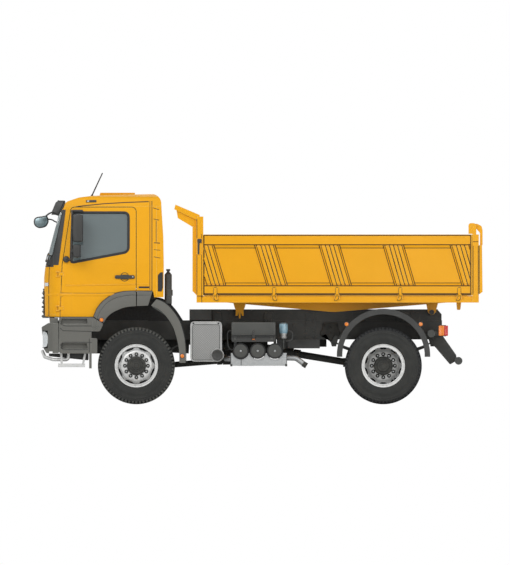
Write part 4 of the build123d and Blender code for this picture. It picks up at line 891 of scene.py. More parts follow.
class LORRY_OT_hubs(bpy.types.Operator):
    """Build the hubs with their drums, the dust shields and the wheel nuts"""
    bl_idname = "lorry.hubs"
    bl_label = "Hubs and wheel nuts"

    def execute(self, context):
        nut = context.scene.lorry_sizes.nut * METRE
        for at, side in SIDES:
            for end, x, y, drum, (count, radius, lift, size), (r0, r1, low, high), shield_y, bore, nut_y in HUBS:
                hub = Shape().turn(drum, (x, y, HUB_Z))
                for i in range(count):
                    bx, _, bz = around(x, y, radius, 0.2 + 2 * math.pi * i / count)
                    hub.bolt(bx, y + lift, bz, size, washer=False)
                # black ring: partly the brake drum's outer lip, partly painted shade inside the wheel
                hub.painted(1).turn(((r0, low), (r1, low), (r1, high), (r0, high)), (x, y, HUB_Z), closed=True)
                hub.done(f"hub_{end}_{at}", f"wheel_{end}_{at}", "casting seal", side, f"rim_{end}_{at}")
                shield = ((bore, -3), (196, -3), (206, 4), (252, 4), (262, 12), (265, 12), (256, 0), (207, 0),
                          (197, -6), (bore, -6))
                Shape().turn(shield, (x, shield_y, HUB_Z), steps=64, closed=True).done(
                    f"dust_shield_{end}_{at}", f"steering_{at}" if end == "front" else "chassis", "casting", side)
                nuts = Shape()
                for i in range(12):
                    nx, _, nz = around(x, y, 168, 2 * math.pi * i / 12)
                    nuts.painted(1).bolt(nx, nut_y, nz, nut, 24)
                    nuts.painted(0).turn(((11.5, 20), (11.5, 36), (9.5, 38), (0.5, 38)), (nx, nut_y, nz), steps=12)
                nuts.done(f"wheel_nuts_{end}_{at}", f"wheel_{end}_{at}", "zinc casting", side)
        return {"FINISHED"}


# ---------------------------------------------------------------- lamps
# headlamp glass: height and how far back it reaches there
HEADLAMP = ((835, 3106), (838, 3094), (848, 3082), (866, 3073), (900, 3066), (950, 3063), (995, 3066), (1025, 3074),
            (1042, 3084), (1053, 3098), (1060, 3112))
HEADLAMP_R = (4, 10, 30, 80, 30)
SIDE_LAMPS = ((-1291, 1168, 1240), (-2372, 1168, 1240), (1105, 704, 1230), (2282, 1231, 1240))
TAIL_X, TAIL_Z = (-2766.5, -2742), (996, 1149)
# tail lamp part, its finish, its box, and how round its rims and corners are
TAIL_LAMPS = (
    ("case", "black", (-2744, -2640), (716, 1184), (990, 1155), 6, 12),
    ("direction", "amber", TAIL_X, (1045, 1186), TAIL_Z, 6, 10),
    ("brake", "red", TAIL_X, (880, 1042), TAIL_Z, 6, 10),
    ("reversing", "clear", TAIL_X, (800, 877), TAIL_Z, 6, 10),
    ("fog", "red", TAIL_X, (720, 797), TAIL_Z, 6, 10),
    ("wrap_red", "red", (-2770, -2715.5), (1128, 1192.5), (1001, 1147), 5, 8),
    ("wrap_amber", "amber", (-2714.5, -2634), (1128, 1192.5), (1001, 1147), 5, 8),
)


class LORRY_OT_lamps(bpy.types.Operator):
    """Build headlamps, tail lamps, side lamps and roof lamps"""
    bl_idname = "lorry.lamps"
    bl_label = "Lamps"

    def execute(self, context):
        r = context.scene.lorry_sizes.lamp * METRE
        for at, side in SIDES:
            for index, (x, z, y) in enumerate(SIDE_LAMPS):
                body, stands_for = ("chassis", "chassis_lamps") if index < 3 else (f"door_{at}_leaf", "")
                Shape().turn(((r, 0), (r, 4), (r * 0.86, 7.5), (r * 0.5, 9), (0.5, 9.5)), (x, y, z), steps=28).done(
                    f"side_lamp_{index}_{at}", body, "amber", side, stands_for)
                bezel = ((r * 1.22, -1), (r * 1.22, 4), (r, 6.5), (r * 0.96, 6.5), (r * 0.96, -1))
                Shape().turn(bezel, (x, y, z), steps=28, closed=True).done(
                    f"side_lamp_bezel_{index}_{at}", body, "black", side)
            rings = []
            for z, rear in HEADLAMP:
                plan = rounded([(rear, 1147 - (rear - 3062) * 0.6), (rear, 786), (3143, 786), (3139, 1000),
                                (max(3090, rear + 12), 1110)], HEADLAMP_R)
                rings.append([(q.x, q.y, z) for q in plan])
            Shape().loft(rings).done(f"headlamp_lens_{at}", "chassis", "clear", side, "chassis_lamps")
            plan = rounded([(3085, 1128), (3085, 786), (3143, 786), (3139, 1000), (3100, 1105)], HEADLAMP_R)
            plan = inset(plan, -1.5)
            Shape().plate(plan, 824, 834.5, 2, "z").plate(plan, 1060.5, 1070, 2, "z").done(
                f"headlamp_bezel_{at}", "chassis", "black", side, "chassis_lamps")
            for part, made, *solid in TAIL_LAMPS:
                Shape().box(*solid).done(f"tail_lamp_{part}_{at}", "chassis", made, side, "chassis_lamps")
            Shape().strip([(2506, 2958), (2358, 2962)], "cab_roof", side, 20, 34, 12).done(
                f"roof_lamp_case_{at}", "cab", "black")
            Shape().strip([(2492, 2958.5), (2462, 2959.5)], "cab_roof", side, 10, 20, 14.5).done(
                f"roof_lamp_lens_{at}", "cab", "clear")
        return {"FINISHED"}


# ---------------------------------------------------------------- cab trim
WINDOW, WINDOW_R = ((1892, 2226), (1892, 2792), (2701, 2792), (2727, 2067)), (90, 70, 50, 40)
DOOR_LINE, DOOR_LINE_R = ((1772, 1690), (1772, 2880), (2729, 2880), (2861, 2031), (2893, 1300)), (0, 70, 60, 300, 0)
DOOR_MIDDLE_X, DOOR_HEAD_Z = 2300, 2860


class LORRY_OT_window_seals(bpy.types.Operator):
    """Build the rubber seals round the side windows"""
    bl_idname = "lorry.window_seals"
    bl_label = "Window seals"

    def execute(self, context):
        inner = context.scene.lorry_sizes.seal * METRE - 10
        section = ((-10, -2), (-10, 3), (-4, 6), (inner - 6, 4), (inner, -4), (inner, -16), (13, -16), (11, -2))
        for at, side in SIDES:
            line = inset(rounded(WINDOW, WINDOW_R, 8), -12)
            Shape().bead(laid(line, f"door_{at}", side, 30, True), [(-side * a, h) for a, h in section], True).done(
                f"window_seal_{at}", f"door_{at}_leaf", "seal")
        return {"FINISHED"}


class LORRY_OT_door_seals(bpy.types.Operator):
    """Build the rubber seals that the doors close on"""
    bl_idname = "lorry.door_seals"
    bl_label = "Door seals"

    def execute(self, context):
        section = ((-12, -54), (-12, -47), (20, -47), (24, -37.5), (38, -37.5), (38, -54))
        line = [p + Vector((12 if p.x < DOOR_MIDDLE_X else -12, -12 if p.y > DOOR_HEAD_Z else 0))
                for p in rounded(DOOR_LINE, DOOR_LINE_R, 8)]
        for at, side in SIDES:
            Shape().bead(laid(line, f"door_{at}", side, 30), [(side * a, h) for a, h in section]).done(
                f"door_seal_{at}", "cab", "seal")
        return {"FINISHED"}


# rear edge of the black surround beside the windscreen, and both edges of the glass: (height, x or y)
SURROUND_REAR = ((2027, 2908), (2836, 2803))
SCREEN_EDGE = ((2110, 3035), (2140, 3020), (2170, 2996), (2206, 2984), (2804, 2848))
SCREEN_SIDE = ((2165, 950), (2185, 1066), (2790, 1006))
FRONT_SKIN = "cab_front_panel cab_glass cab_roof"


def heights(low, high, count):
    """So many heights, set evenly from low to high."""
    return [low + (high - low) * i / (count - 1) for i in range(count)]


class LORRY_OT_windscreen_surround(bpy.types.Operator):
    """Build the black surround, the glass that wraps round the corners, the wipers, grab handles and grille slats"""
    bl_idname = "lorry.windscreen_surround"
    bl_label = "Windscreen surround"

    def execute(self, context):
        for at, side in SIDES:
            band = Shape().skin([girth(FRONT_SKIN, z, at_height(SURROUND_REAR, z), at_height(SCREEN_SIDE, z), 22, side)
                                 for z in heights(2030, 2836, 29)], -1, 3)
            for low, high, x in ((2003, 2177, 2980), (2794, 2840, 2830)):
                band.skin([girth(FRONT_SKIN, z, x, 0, 40, side) for z in heights(low, high, 6)], -1, 3.5)
            band.done(f"windscreen_surround_{at}", "cab", "black")
            rows = [girth(FRONT_SKIN, z, at_height(SCREEN_EDGE, z), at_height(SCREEN_SIDE, z), 16, side)
                    for z in heights(2112, 2800, 27)]
            Shape().skin(rows, 3, 6.5).done(f"windscreen_side_glass_{at}", "cab", "screen")
            Shape().bead([row[0] for row in rows[1:]], low_strip(12, 9)).done(
                f"windscreen_edge_seal_{at}", "cab", "seal")
            low, high = (girth(FRONT_SKIN, z, x, 200, 8, side)[0][0] for z, x in ((2022, 3040), (2168, 3012)))
            out = Vector((0.62, 0.78 * side, 0)) * 36
            bar = [low, low + out * 0.8 + Vector((12, 0, 4)), low + out + Vector((10, 0, 22)),
                   high + out + Vector((14, 0, -18)), high + out * 0.8 + Vector((10, 0, 0)), high]
            Shape().tube(bar, 8.5).done(f"step_grab_handle_{at}", "cab", "black")
            rows = [girth("cab_front_panel cab_grille", z, 3056, 985, 12, side) for z in (1724, 1732, 1748, 1764, 1772)]
            Shape().skin(rows, -2, 10).done(f"corner_indicator_{at}", "cab", "clear")
        wipers = Shape()
        for root, tip in ((780, 180), (100, -520), (-550, -1020)):
            arm = laid([(root, 2090), (root * 0.4 + tip * 0.6, 2150), (tip + 160, 2205)], FRONT_SKIN, 0, 40)
            wipers.bead([(p + n * 12, n) for p, n in arm], low_strip(16, 10))
            wipers.bead(laid([(tip + 460, 2198), (tip - 20, 2214)], FRONT_SKIN, 0, 40),
                        [(-6, 0), (-9, 12), (-4, 22), (4, 22), (9, 12), (6, 0)])
            wipers.turn(((18, -4), (18, 20), (12, 26)), arm[0][0], "x", 20)
        wipers.done("windscreen_wipers", "cab", "black")
        slats, half = Shape(), 930.02  # just wide enough for the last point but one to lie past the end of its slot
        for z in (1285, 1352, 1419, 1486, 1553, 1620, 1672):
            slats.bead(laid([(-half, z), (half, z)], "cab_grille cab_front_panel", 0, 61),
                       [(-17, -4), (-13, 14), (4, 20), (15, 10), (17, -4)])
        slats.done("grille_slats", "cab", "black")
        return {"FINISHED"}


SIDE_SKIN = "cab_roof cab_sides cab_back_wall"
# lines laid on the cab: piece, body, finish, nodes below, and (points, width, height) of each line
CAB_LINES = (
    ("cab_side_joints", "cab", "seal", SIDE_SKIN, (
        # black strip for the drip rail over the door: partly the rail, partly painted shade under it
        (((2656, 2878), (2560, 2893), (2240, 2925), (1900, 2944), (1595, 2955)), 13, 3),
        (((1577, 2888), (1577, 1668)), 7.8, 1.2), (((1577, 3010), (1577, 2891)), 7.8, 1.2),
        (((1547, 2888), (1547, 1650)), 10.4, 2), (((1547, 3022), (1547, 2891)), 10.4, 2),
        # five short black strips across the rear corner stand for pressed ribs: painted shade of the ribs
        (((1530, 2864), (1445, 2838)), 9.1, 2), (((1524, 2703), (1445, 2685)), 9.1, 2),
        (((1518, 2355), (1430, 2350)), 11.7, 2.5), (((1520, 2255), (1425, 2246)), 7.8, 1.8),
        (((1520, 2150), (1425, 2132)), 7.8, 1.8), (((1486, 2680), (1486, 2370)), 7.8, 1.5),
        (((1739, 1706), (1586, 1706)), 24.7, 5))),
    ("cab_corner_rib", "cab", "enamel", SIDE_SKIN, ((((1468, 2680), (1468, 2370)), 18.2, 4),)),
    ("cab_corner_joint", "cab", "seal", "cab_front_panel",
     ((((3040, 2024), (3047, 1860), (3051, 1700), (3049, 1290)), 11, 3),)),
    # black strip along the door's lower crease: painted shade of the crease's step
    ("door_seam", "leaf", "seal", "door", ((((2886, 1624), (2300, 1620), (2080, 1626)), 5, 1.5),)),
)
# pressed folds: piece, body, and (nodes below, points, half width, half width of its top, height, step)
FOLDS = (
    ("door_creases", "leaf", (("door", ((2800, 1733), (2300, 1741), (1782, 1752)), 17, 3.4, 10, 50),
                              ("door", ((2885, 1598), (2300, 1594), (2020, 1600)), 25, 5, 10, 50))),
    ("cab_creases", "cab", (("cab_front_panel", ((3085, 1594), (2915, 1598)), 25, 5, 6.5, 30),
                            (SIDE_SKIN, ((1760, 1752), (1600, 1748)), 17, 4, 6.5, 30))),
)


class LORRY_OT_cab_pressings(bpy.types.Operator):
    """Build the joints, the strips of painted shade, the ribs and the creases of the cab's side and doors"""
    bl_idname = "lorry.cab_pressings"
    bl_label = "Cab pressings"

    def execute(self, context):
        for at, side in SIDES:
            own = {"leaf": f"door_{at}_leaf", "door": f"door_{at}"}
            for name, body, made, skin, lines in CAB_LINES:
                shape = Shape()
                for points, width, high in lines:
                    shape.strip(points, own.get(skin, skin), side, 50, width, high)
                shape.done(f"{name}_{at}", own.get(body, body), made)
            for name, body, folds in FOLDS:
                shape = Shape()
                for skin, points, half, top, high, step in folds:
                    shape.bead(laid(points, own.get(skin, skin), side, step),
                               [(-half, -2), (-top, high), (top, high), (half, -2)])
                shape.done(f"{name}_{at}", own.get(body, body), "enamel")
            rows = []
            for z in heights(1645, 1925, 15):
                start, end = 1388 + 20 * max(0.0, (1700 - z) / 60), 1461 - max(0, z - 1885)
                rows.append(laid([(start + (end - start) * k / 4, z) for k in range(5)], SIDE_SKIN, side, METRE))
            Shape().skin(rows, -1, 3).done(f"corner_vent_{at}", "cab", "seal")
        return {"FINISHED"}


# door's wheel arch, from its front foot up and back: outer edge, inner edge of its rim, lower edge
ARCH_OUTER = ((2395, 1277), (2372, 1335), (2341, 1402), (2268, 1493), (2159, 1575), (2086, 1612), (1976, 1639),
              (1880, 1647), (1779, 1649))
ARCH_RIM = ((2350, 1229), (2330, 1295), (2304, 1357), (2213, 1470), (2086, 1548), (1903, 1590), (1779, 1594))
ARCH_LOWER = ((2250, 1190), (2205, 1262), (2122, 1335), (1976, 1402), (1880, 1421), (1779, 1430))
ARCH_FOOT = ((2401, 1262), (2418, 1200), (2420, 1080), (2412, 1068), (2323, 1068), (2310, 1090), (2275, 1155),
             (2262, 1178))
# guard behind the front wheel, from its top down: outer edge, inner edge; and the upper edge of its liner
GUARD_OUTER = ((1484, 1528), (1400, 1500), (1315, 1440), (1250, 1370), (1190, 1290), (1140, 1200), (1107, 1104),
               (1080, 1000), (1065, 896), (1056, 750), (1056, 604))
GUARD_INNER = ((1560, 1439), (1457, 1395), (1375, 1325), (1315, 1250), (1266, 1174), (1221, 1083), (1169, 896),
               (1150, 750), (1148, 604))
LINER = ((1600, 1556), (1484, 1560), (1385, 1540), (1288, 1475), (1212, 1395), (1150, 1310), (1090, 1215))


class LORRY_OT_wheel_arches(bpy.types.Operator):
    """Build the arches over the front wheels, the guards behind them and their liners"""
    bl_idname = "lorry.wheel_arches"
    bl_label = "Wheel arches"

    def execute(self, context):
        outer, rim, lower, above = (curve(points) for points in (
            ARCH_OUTER, ARCH_RIM, ARCH_LOWER, [(x + 2, z + 4) for x, z in ARCH_OUTER]))
        guard, guard_inner = curve(GUARD_OUTER), curve(GUARD_INNER)
        for at, side in SIDES:
            arch = Shape().plate(outer + lower[::-1], 1150, 1240, 6).plate(outer + rim[:0:-1], 1235, 1246, 4)
            arch.painted(1).trace(rim[1:], 1239.5, 11, 2.5).trace(above, 1201, 12, 3)
            arch.done(f"wheel_arch_door_{at}", f"door_{at}_leaf", "plastic seal", side, f"door_arch_{at}")
            corner = Shape().plate([(1767, 1649), (1540, 1646), (1603, 1438), (1767, 1431)], 1150, 1240, 6)
            corner.plate([(1767, 1649), (1540, 1646), (1556, 1592), (1767, 1594)], 1235, 1246, 4).painted(1)
            corner.trace([(x, 1594) for x in (1767, 1660, 1556)], 1239.5, 11, 2.5)
            corner.trace([(x, 1653) for x in (1767, 1660, 1540)], 1201, 12, 3)
            corner.box((1742, 1808), (1124, 1138), (1436, 1645), 4)
            corner.plate([(1500, 1538), (1500, 1648), (1570, 1648), (1604, 1538)], 1124, 1138, 2)
            corner.done(f"wheel_arch_corner_{at}", "cab", "plastic seal", side, "cab_arch_corners")
            foot = Shape().plate(rounded(ARCH_FOOT, 10), 1238, 1243, 2).painted(1)
            foot.plate([(2225, 1175), (2340, 1330), (2440, 1330), (2440, 1240), (2300, 1130)], 1120, 1132)
            foot.trace([(2350, 1229), (2360, 1190), (2364, 1075)], 1242.5, 7, 2)
            foot.trace([(x, 1128) for x in (2420, 2360, 2296)], 1242.5, 7, 2)
            foot.done(f"wheel_arch_foot_{at}", "chassis", "plastic seal", side)
            behind = Shape().plate(guard + guard_inner[::-1], 1224, 1232, 3).painted(1)
            behind.trace([(q.x - 6, q.y + 4) for q in guard], 1231, 9, 3)
            # black liner over the wheel: partly a wheelhouse liner, partly painted shade inside the arch
            behind.plate(curve(LINER) + [Vector((1600, 1215))], 431.5, 437.5)
            behind.done(f"front_guard_{at}", "chassis", "plastic seal", side)
        return {"FINISHED"}


class LORRY_OT_door_handles(bpy.types.Operator):
    """Build the door handles, their dishes and the lock cylinders"""
    bl_idname = "lorry.door_handles"
    bl_label = "Door handles"

    def execute(self, context):
        for at, side in SIDES:
            leaf = f"door_{at}_leaf"
            Shape().slab((1800, 2086), (1830, 1882), 20, 1199, 1223, 6).slab(
                (1885, 2010), (1822, 1890), 20, 1199, 1227.5, 7).done(f"door_handle_{at}", leaf, "black", side)
            Shape().turn(((66, -2), (66, 1.5), (62, 3.5), (58, 1.5), (58, -2)), (1945, 1200, 1857), closed=True).done(
                f"handle_dish_{at}", leaf, "seal", side)
            Shape().turn(((10, 0), (10, 3), (7, 3.8), (0.5, 3)), (1826, 1222.8, 1857), steps=16).done(
                f"door_lock_{at}", leaf, "zinc", side)
        return {"FINISHED"}


# ---------------------------------------------------------------- inside of the cab
SEAT_Y = 560
# cushion outlines seen from the side, how far each reaches to either side of its seat's middle, its seams, its crown
SEAT_PADS = (
    ("cushion", ((1895, 1805), (2375, 1830), (2385, 1925), (2330, 1940), (1900, 1905)), 245, (-120, 120), 0.012),
    ("back", ((1850, 1862), (1950, 1862), (1905, 2240), (1868, 2550), (1772, 2550), (1800, 2240)), 240, (-130, 130),
     0.006),
    ("headrest", ((1765, 2575), (1852, 2575), (1846, 2730), (1764, 2730)), 130, (), 0.006),
)


class LORRY_OT_seats(bpy.types.Operator):
    """Build the driver's and passenger's seats"""
    bl_idname = "lorry.seats"
    bl_label = "Seats"

    def execute(self, context):
        steps = 26
        for at, side in SIDES:
            for part, points, half, seams, crown in SEAT_PADS:
                outline = rounded(points, 45, 4)
                centre = sum(outline, Vector((0, 0))) / len(outline)
                rings = []
                for t in (-math.cos(math.pi * i / steps) for i in range(steps + 1)):
                    by = 40 * (1 - (1 - abs(t) ** 5) ** 0.5)
                    by += sum(7 * math.exp(-((half * t - seam) / 6) ** 2) for seam in seams)
                    swell = 1 + crown * math.cos(3 * t)
                    ring = [centre + (point - centre) * swell for point in inset(outline, by * 0.9 + 2)]
                    rings.append([(q.x, SEAT_Y + half * t, q.y) for q in ring])
                piece = Shape().loft(rings).done(f"seat_{part}_{at}", "cab", "cloth", side, "cab_interior", 60)
            base = rounded([(1950, 1692), (2150, 1692), (2110, 1740), (2140, 1800), (1930, 1800), (1960, 1740)], 12)
            Shape().plate(base, 400, 720, 10).tube([(1815, 500, 2540), (1808, 500, 2590)], 6).tube(
                [(1815, 620, 2540), (1808, 620, 2590)], 6).done(f"seat_base_{at}", "cab", "black", side, "cab_interior")
        return {"FINISHED"}


class LORRY_OT_controls(bpy.types.Operator):
    """Build the dashboard, the steering wheel, the door cards and the blinds"""
    bl_idname = "lorry.controls"
    bl_label = "Dashboard and controls"

    def execute(self, context):
        board = Shape()
        for reach, half in ((2930, 1118), (3040, 960)):
            board.plate(rounded([(reach, 1335), (reach, 2090), (2925, 2120), (2760, 2060), (2742, 1900), (2850, 1600),
                                 (2850, 1335)], (10, 20, 20, 30, 40, 50, 10)), -half, half, 20)
        board.plate(rounded([(2900, 2095), (2800, 2060), (2770, 2120), (2860, 2150)], 20), 340, 780, 12)
        for y0, y1 in ((-950, -350), (-200, 200)):
            board.plate(rounded([(2760, 1920), (2740, 2030), (2752, 2040), (2770, 1925)], 4), y0, y1, 3)
        board.done("dashboard", "cab", "foam", replaces="cab_interior")
        lean = math.radians(-36)
        middle, across = Vector((2590, SEAT_Y, 2088)), Vector((0, 1, 0))
        away, along = Vector((math.sin(lean), 0, math.cos(lean))), Vector((math.cos(lean), 0, -math.sin(lean)))
        rim = [middle + along * a + across * b for a, b in circle(215, 56)]
        steering = Shape().bead([(p, (p - middle).normalized()) for p in rim], circle(14.5, 10), True)
        for angle in (0.25, math.pi - 0.25, 1.5 * math.pi):
            spoke = along * math.sin(angle) + across * math.cos(angle)
            steering.tube([middle - away * 20 + spoke * 30, middle - away * 12 + spoke * 120, middle + spoke * 208],
                          [20, 13, 11])
        steering.tube([middle + away * lift for lift in (-35, -30, -4, 2)], [30, 55, 58, 46], 24)
        steering.tube([(2800, SEAT_Y, 1800), (2640, SEAT_Y, 2020), middle - away * 30], [36, 36, 30])
        steering.done("steering_wheel", "cab", "foam", replaces="cab_interior")
        for at, side in SIDES:
            card = Shape().plate(rounded([(1815, 1700), (2835, 1700), (2815, 2030), (2690, 2050), (1905, 2170),
                                          (1815, 2185)], 30), 1144, 1161.5, 6)
            card.slab((1950, 2500), (1985, 2035), 20, 1082, 1150, 14)
            card.plate(rounded([(2150, 1715), (2790, 1715), (2780, 1830), (2180, 1840)], 30), 1092, 1150, 12)
            card.done(f"door_card_{at}", f"door_{at}_leaf", "foam", side)
            blind = Shape().plate(rounded([(2049, 2715), (2304, 2715), (2304, 2660), (2255, 2598), (2098, 2598),
                                           (2049, 2660)], (10, 10, 50, 60, 60, 50)), 1010, 1036, 10)
            for x in (2090, 2262):
                blind.tube([(x, 1023, 2712), (x, 1023, 2870)], 6)
            blind.done(f"side_blind_{at}", "cab", "foam", side)
        return {"FINISHED"}


# ---------------------------------------------------------------- bed
WALL_X, RIB_Z = (-3094, 786), (2330, 1736)
RIBS = ((798, 620), (-95, -278), (-1036, -1212), (-1969, -2142), (-2945, -3122))
RIB_LINES = ((-150, 9), (-123, 7), (-60, 9), (0, 9), (60, 9), (123, 7), (150, 9))
WALL_HINGE_X = (623, -234, -1153, -2073, -2933)
# lines sealed on the bed's posts and headboard, and the nodes they lie on
POST_LINES = (
    (((821, 1484), (821, 2180)), "bed_headboard bed_floor"), (((821, 2420), (821, 2480)), "bed_headboard"),
    (((-3210, 2371), (-3130, 2371)), "bed_floor"), (((888, 1580), (803, 1580)), "bed_headboard bed_floor"),
    (((891, 1600), (891, 2180)), "bed_headboard"), (((891, 2420), (891, 2700)), "bed_headboard"),
    (((-3136, 1600), (-3136, 2310)), "bed_floor"), (((-3210, 1600), (-3210, 2310)), "bed_floor"),
)


def rib_x(rib, offset, z):
    """Where a line beside a slanted rib's middle is at a height."""
    top, low = rib
    return top + (low - top) * (RIB_Z[0] - z) / (RIB_Z[0] - RIB_Z[1]) + offset


def wall_lines():
    """Joints of the drop side: along its rails and ledges, and up each rib's edges and grooves."""
    behind = WALL_X[0] - 0.0003  # just past the edge of the rearmost rib, so that the joint starts on its end face
    made = [([(behind, z), (WALL_X[1] + 2, z)], 10) for z in (2464, 2327.5, 1727.5, 1612, 1596)]
    for z in (2279, 1769):
        stops = [WALL_X[1], *(rib_x(rib, reach, z) for rib in RIBS for reach in (152, -152)), WALL_X[0]]
        made += [([(a, z), (b, z)], 7) for a, b in zip(stops[::2], stops[1::2]) if a > b + 30]
    for rib in RIBS:
        for offset, width in RIB_LINES:
            line = [(rib_x(rib, offset, z), z) for z in heights(*RIB_Z, 25)]
            line = [point for point in line if WALL_X[0] < point[0] < WALL_X[1]]
            if len(line) > 3:
                made.append((line, width))
    return made + [([(x, 2470), (x, 1590)], 8) for x in (WALL_X[0] - 4, WALL_X[1] + 1)]


class LORRY_OT_drop_sides(bpy.types.Operator):
    """Build the drop sides' sealed joints, hinge straps and hooks, and the seals they close on"""
    bl_idname = "lorry.drop_sides"
    bl_label = "Drop side fittings"

    def execute(self, context):
        for at, side in SIDES:
            leaf = f"drop_side_{at}"
            joints = Shape()
            for line, width in wall_lines():
                joints.strip(line, f"side_wall_{at}", side, 45, width * 1.35, 2.5)
            joints.done(f"drop_side_joints_{at}", leaf, "sealer")
            pads, straps, hook_pads, hooks = Shape(), Shape(), Shape(), Shape()
            for index, x in enumerate(WALL_HINGE_X):
                strap = rounded([(x - 20, 1586), (x + 20, 1586), (x + 20, 1702), (x - 20, 1702)], (2, 2, 18, 18))
                pads.plate(inset(strap, -7), 1249.5, 1253)
                straps.plate(strap, 1250, 1261, 4)
                way = -1 if index < 2 else 1
                hook = rounded([(x + way * out, z) for out, z in ((-18, 1576), (18, 1576), (18, 1548), (34, 1532),
                                                                  (34, 1512), (6, 1516), (-18, 1545))], 6)
                hook_pads.plate(inset(hook, -6), 1249.5, 1253)
                hooks.plate(hook, 1250, 1259, 3)
            pads.done(f"hinge_pads_{at}", leaf, "sealer", side)
            straps.done(f"hinge_straps_{at}", leaf, "enamel", side)
            hook_pads.done(f"hinge_hook_pads_{at}", "bed", "sealer", side)
            hooks.done(f"hinge_hooks_{at}", "bed", "enamel", side)
            seals = Shape().box((778, 799.5), (1184, 1201), (1590, 2470), 4)
            seals.box((-3123.5, -3101), (1184, 1201), (1590, 2470), 4)
            seals.box((-3229.2, -3218), (1175, 1240), (1610, 2318), 2)
            seals.done(f"bed_corner_seals_{at}", "bed", "seal", side)
            lever = Shape().slab((822, 886), (2352, 2412), 12, 1258.5, 1272, 4)
            lever.plate(rounded([(857, 2186), (879, 2186), (882, 2370), (852, 2370)], 10), 1258.5, 1269, 4)
            lever.turn(((16, 0), (16, 6), (10, 10), (0.5, 10)), (842, 1271.5, 2384), steps=20)
            lever.done(f"side_lock_lever_{at}", "bed", "black", side)
            lines = Shape()
            for points, names in POST_LINES:
                lines.strip(points, names, side, 50, 8, 2)
            lines.done(f"bed_post_joints_{at}", "bed", "sealer")
        return {"FINISHED"}


# ---------------------------------------------------------------- what hangs on the frame
TANK_Y, CAP_X, CAP_Z = 1190, 594, 717


class LORRY_OT_fuel_tank(bpy.types.Operator):
    """Build the fuel tank's end panel, rim, fixings and cap"""
    bl_idname = "lorry.fuel_tank"
    bl_label = "Fuel tank fittings"

    def execute(self, context):
        Shape().slab((566, 950), (650, 1156), 35, TANK_Y - 1, TANK_Y + 3, 1.5).done(
            "tank_end_panel", "chassis", "embossed")
        Shape().trace(box_outline((560, 956), (644, 1162), 40, 8), TANK_Y, 7, 4, True).done(
            "tank_panel_joint", "chassis", "seal")
        Shape().trace(box_outline((533, 981), (630, 1201), 60, 8), TANK_Y - 1, 14, 4, True).done(
            "tank_edge_bead", "chassis", "tank")
        fixings = Shape()
        for x in (943, 578):
            fixings.turn(((13, -1), (13, 3), (9, 5), (0.5, 5)), (x, TANK_Y, 1180), steps=18)
        fixings.done("tank_panel_fixings", "chassis", "seal")
        centre = (CAP_X, TANK_Y, CAP_Z)
        Shape().turn(((88, -4), (96, -2), (96.5, 12.5), (92, 16), (86, 13.5), (83, -4)), centre, steps=64,
                     closed=True).done("tank_filler_ring", "chassis", "tank")
        cap = Shape().turn(((79, 1), (79, 30), (74, 35.5), (60, 36.5), (56, 34), (20, 34), (0.5, 35)), centre)
        for a, b in circle(79, 24):
            cap.turn(((3.5, 4), (3.5, 27), (0.5, 28.5)), (CAP_X + a, TANK_Y, CAP_Z + b), steps=8)
        cap.done("fuel_cap", "chassis", "black")
        return {"FINISHED"}


AIR_PIPES = (
    ((386, 1060, 1070), (420, 1060, 1068), (440, 1060, 1050), (445, 1060, 1020), (443, 1060, 900), (436, 1060, 850),
     (416, 1060, 810), (370, 1060, 790)),
    ((-420, 1010, 1070), (-468, 1010, 1068), (-494, 1010, 1050), (-502, 1010, 1020), (-502, 1010, 970),
     (-494, 1010, 940), (-468, 1010, 924), (-404, 1010, 922)),
)
SPRING_HANGER = ((-940, 1190), (-1160, 1190), (-1160, 1120), (-1195, 1060), (-1180, 990), (-1120, 1010),
                 (-1090, 960), (-1060, 894), (-1020, 960), (-985, 1015), (-915, 985), (-903, 1050), (-940, 1110))


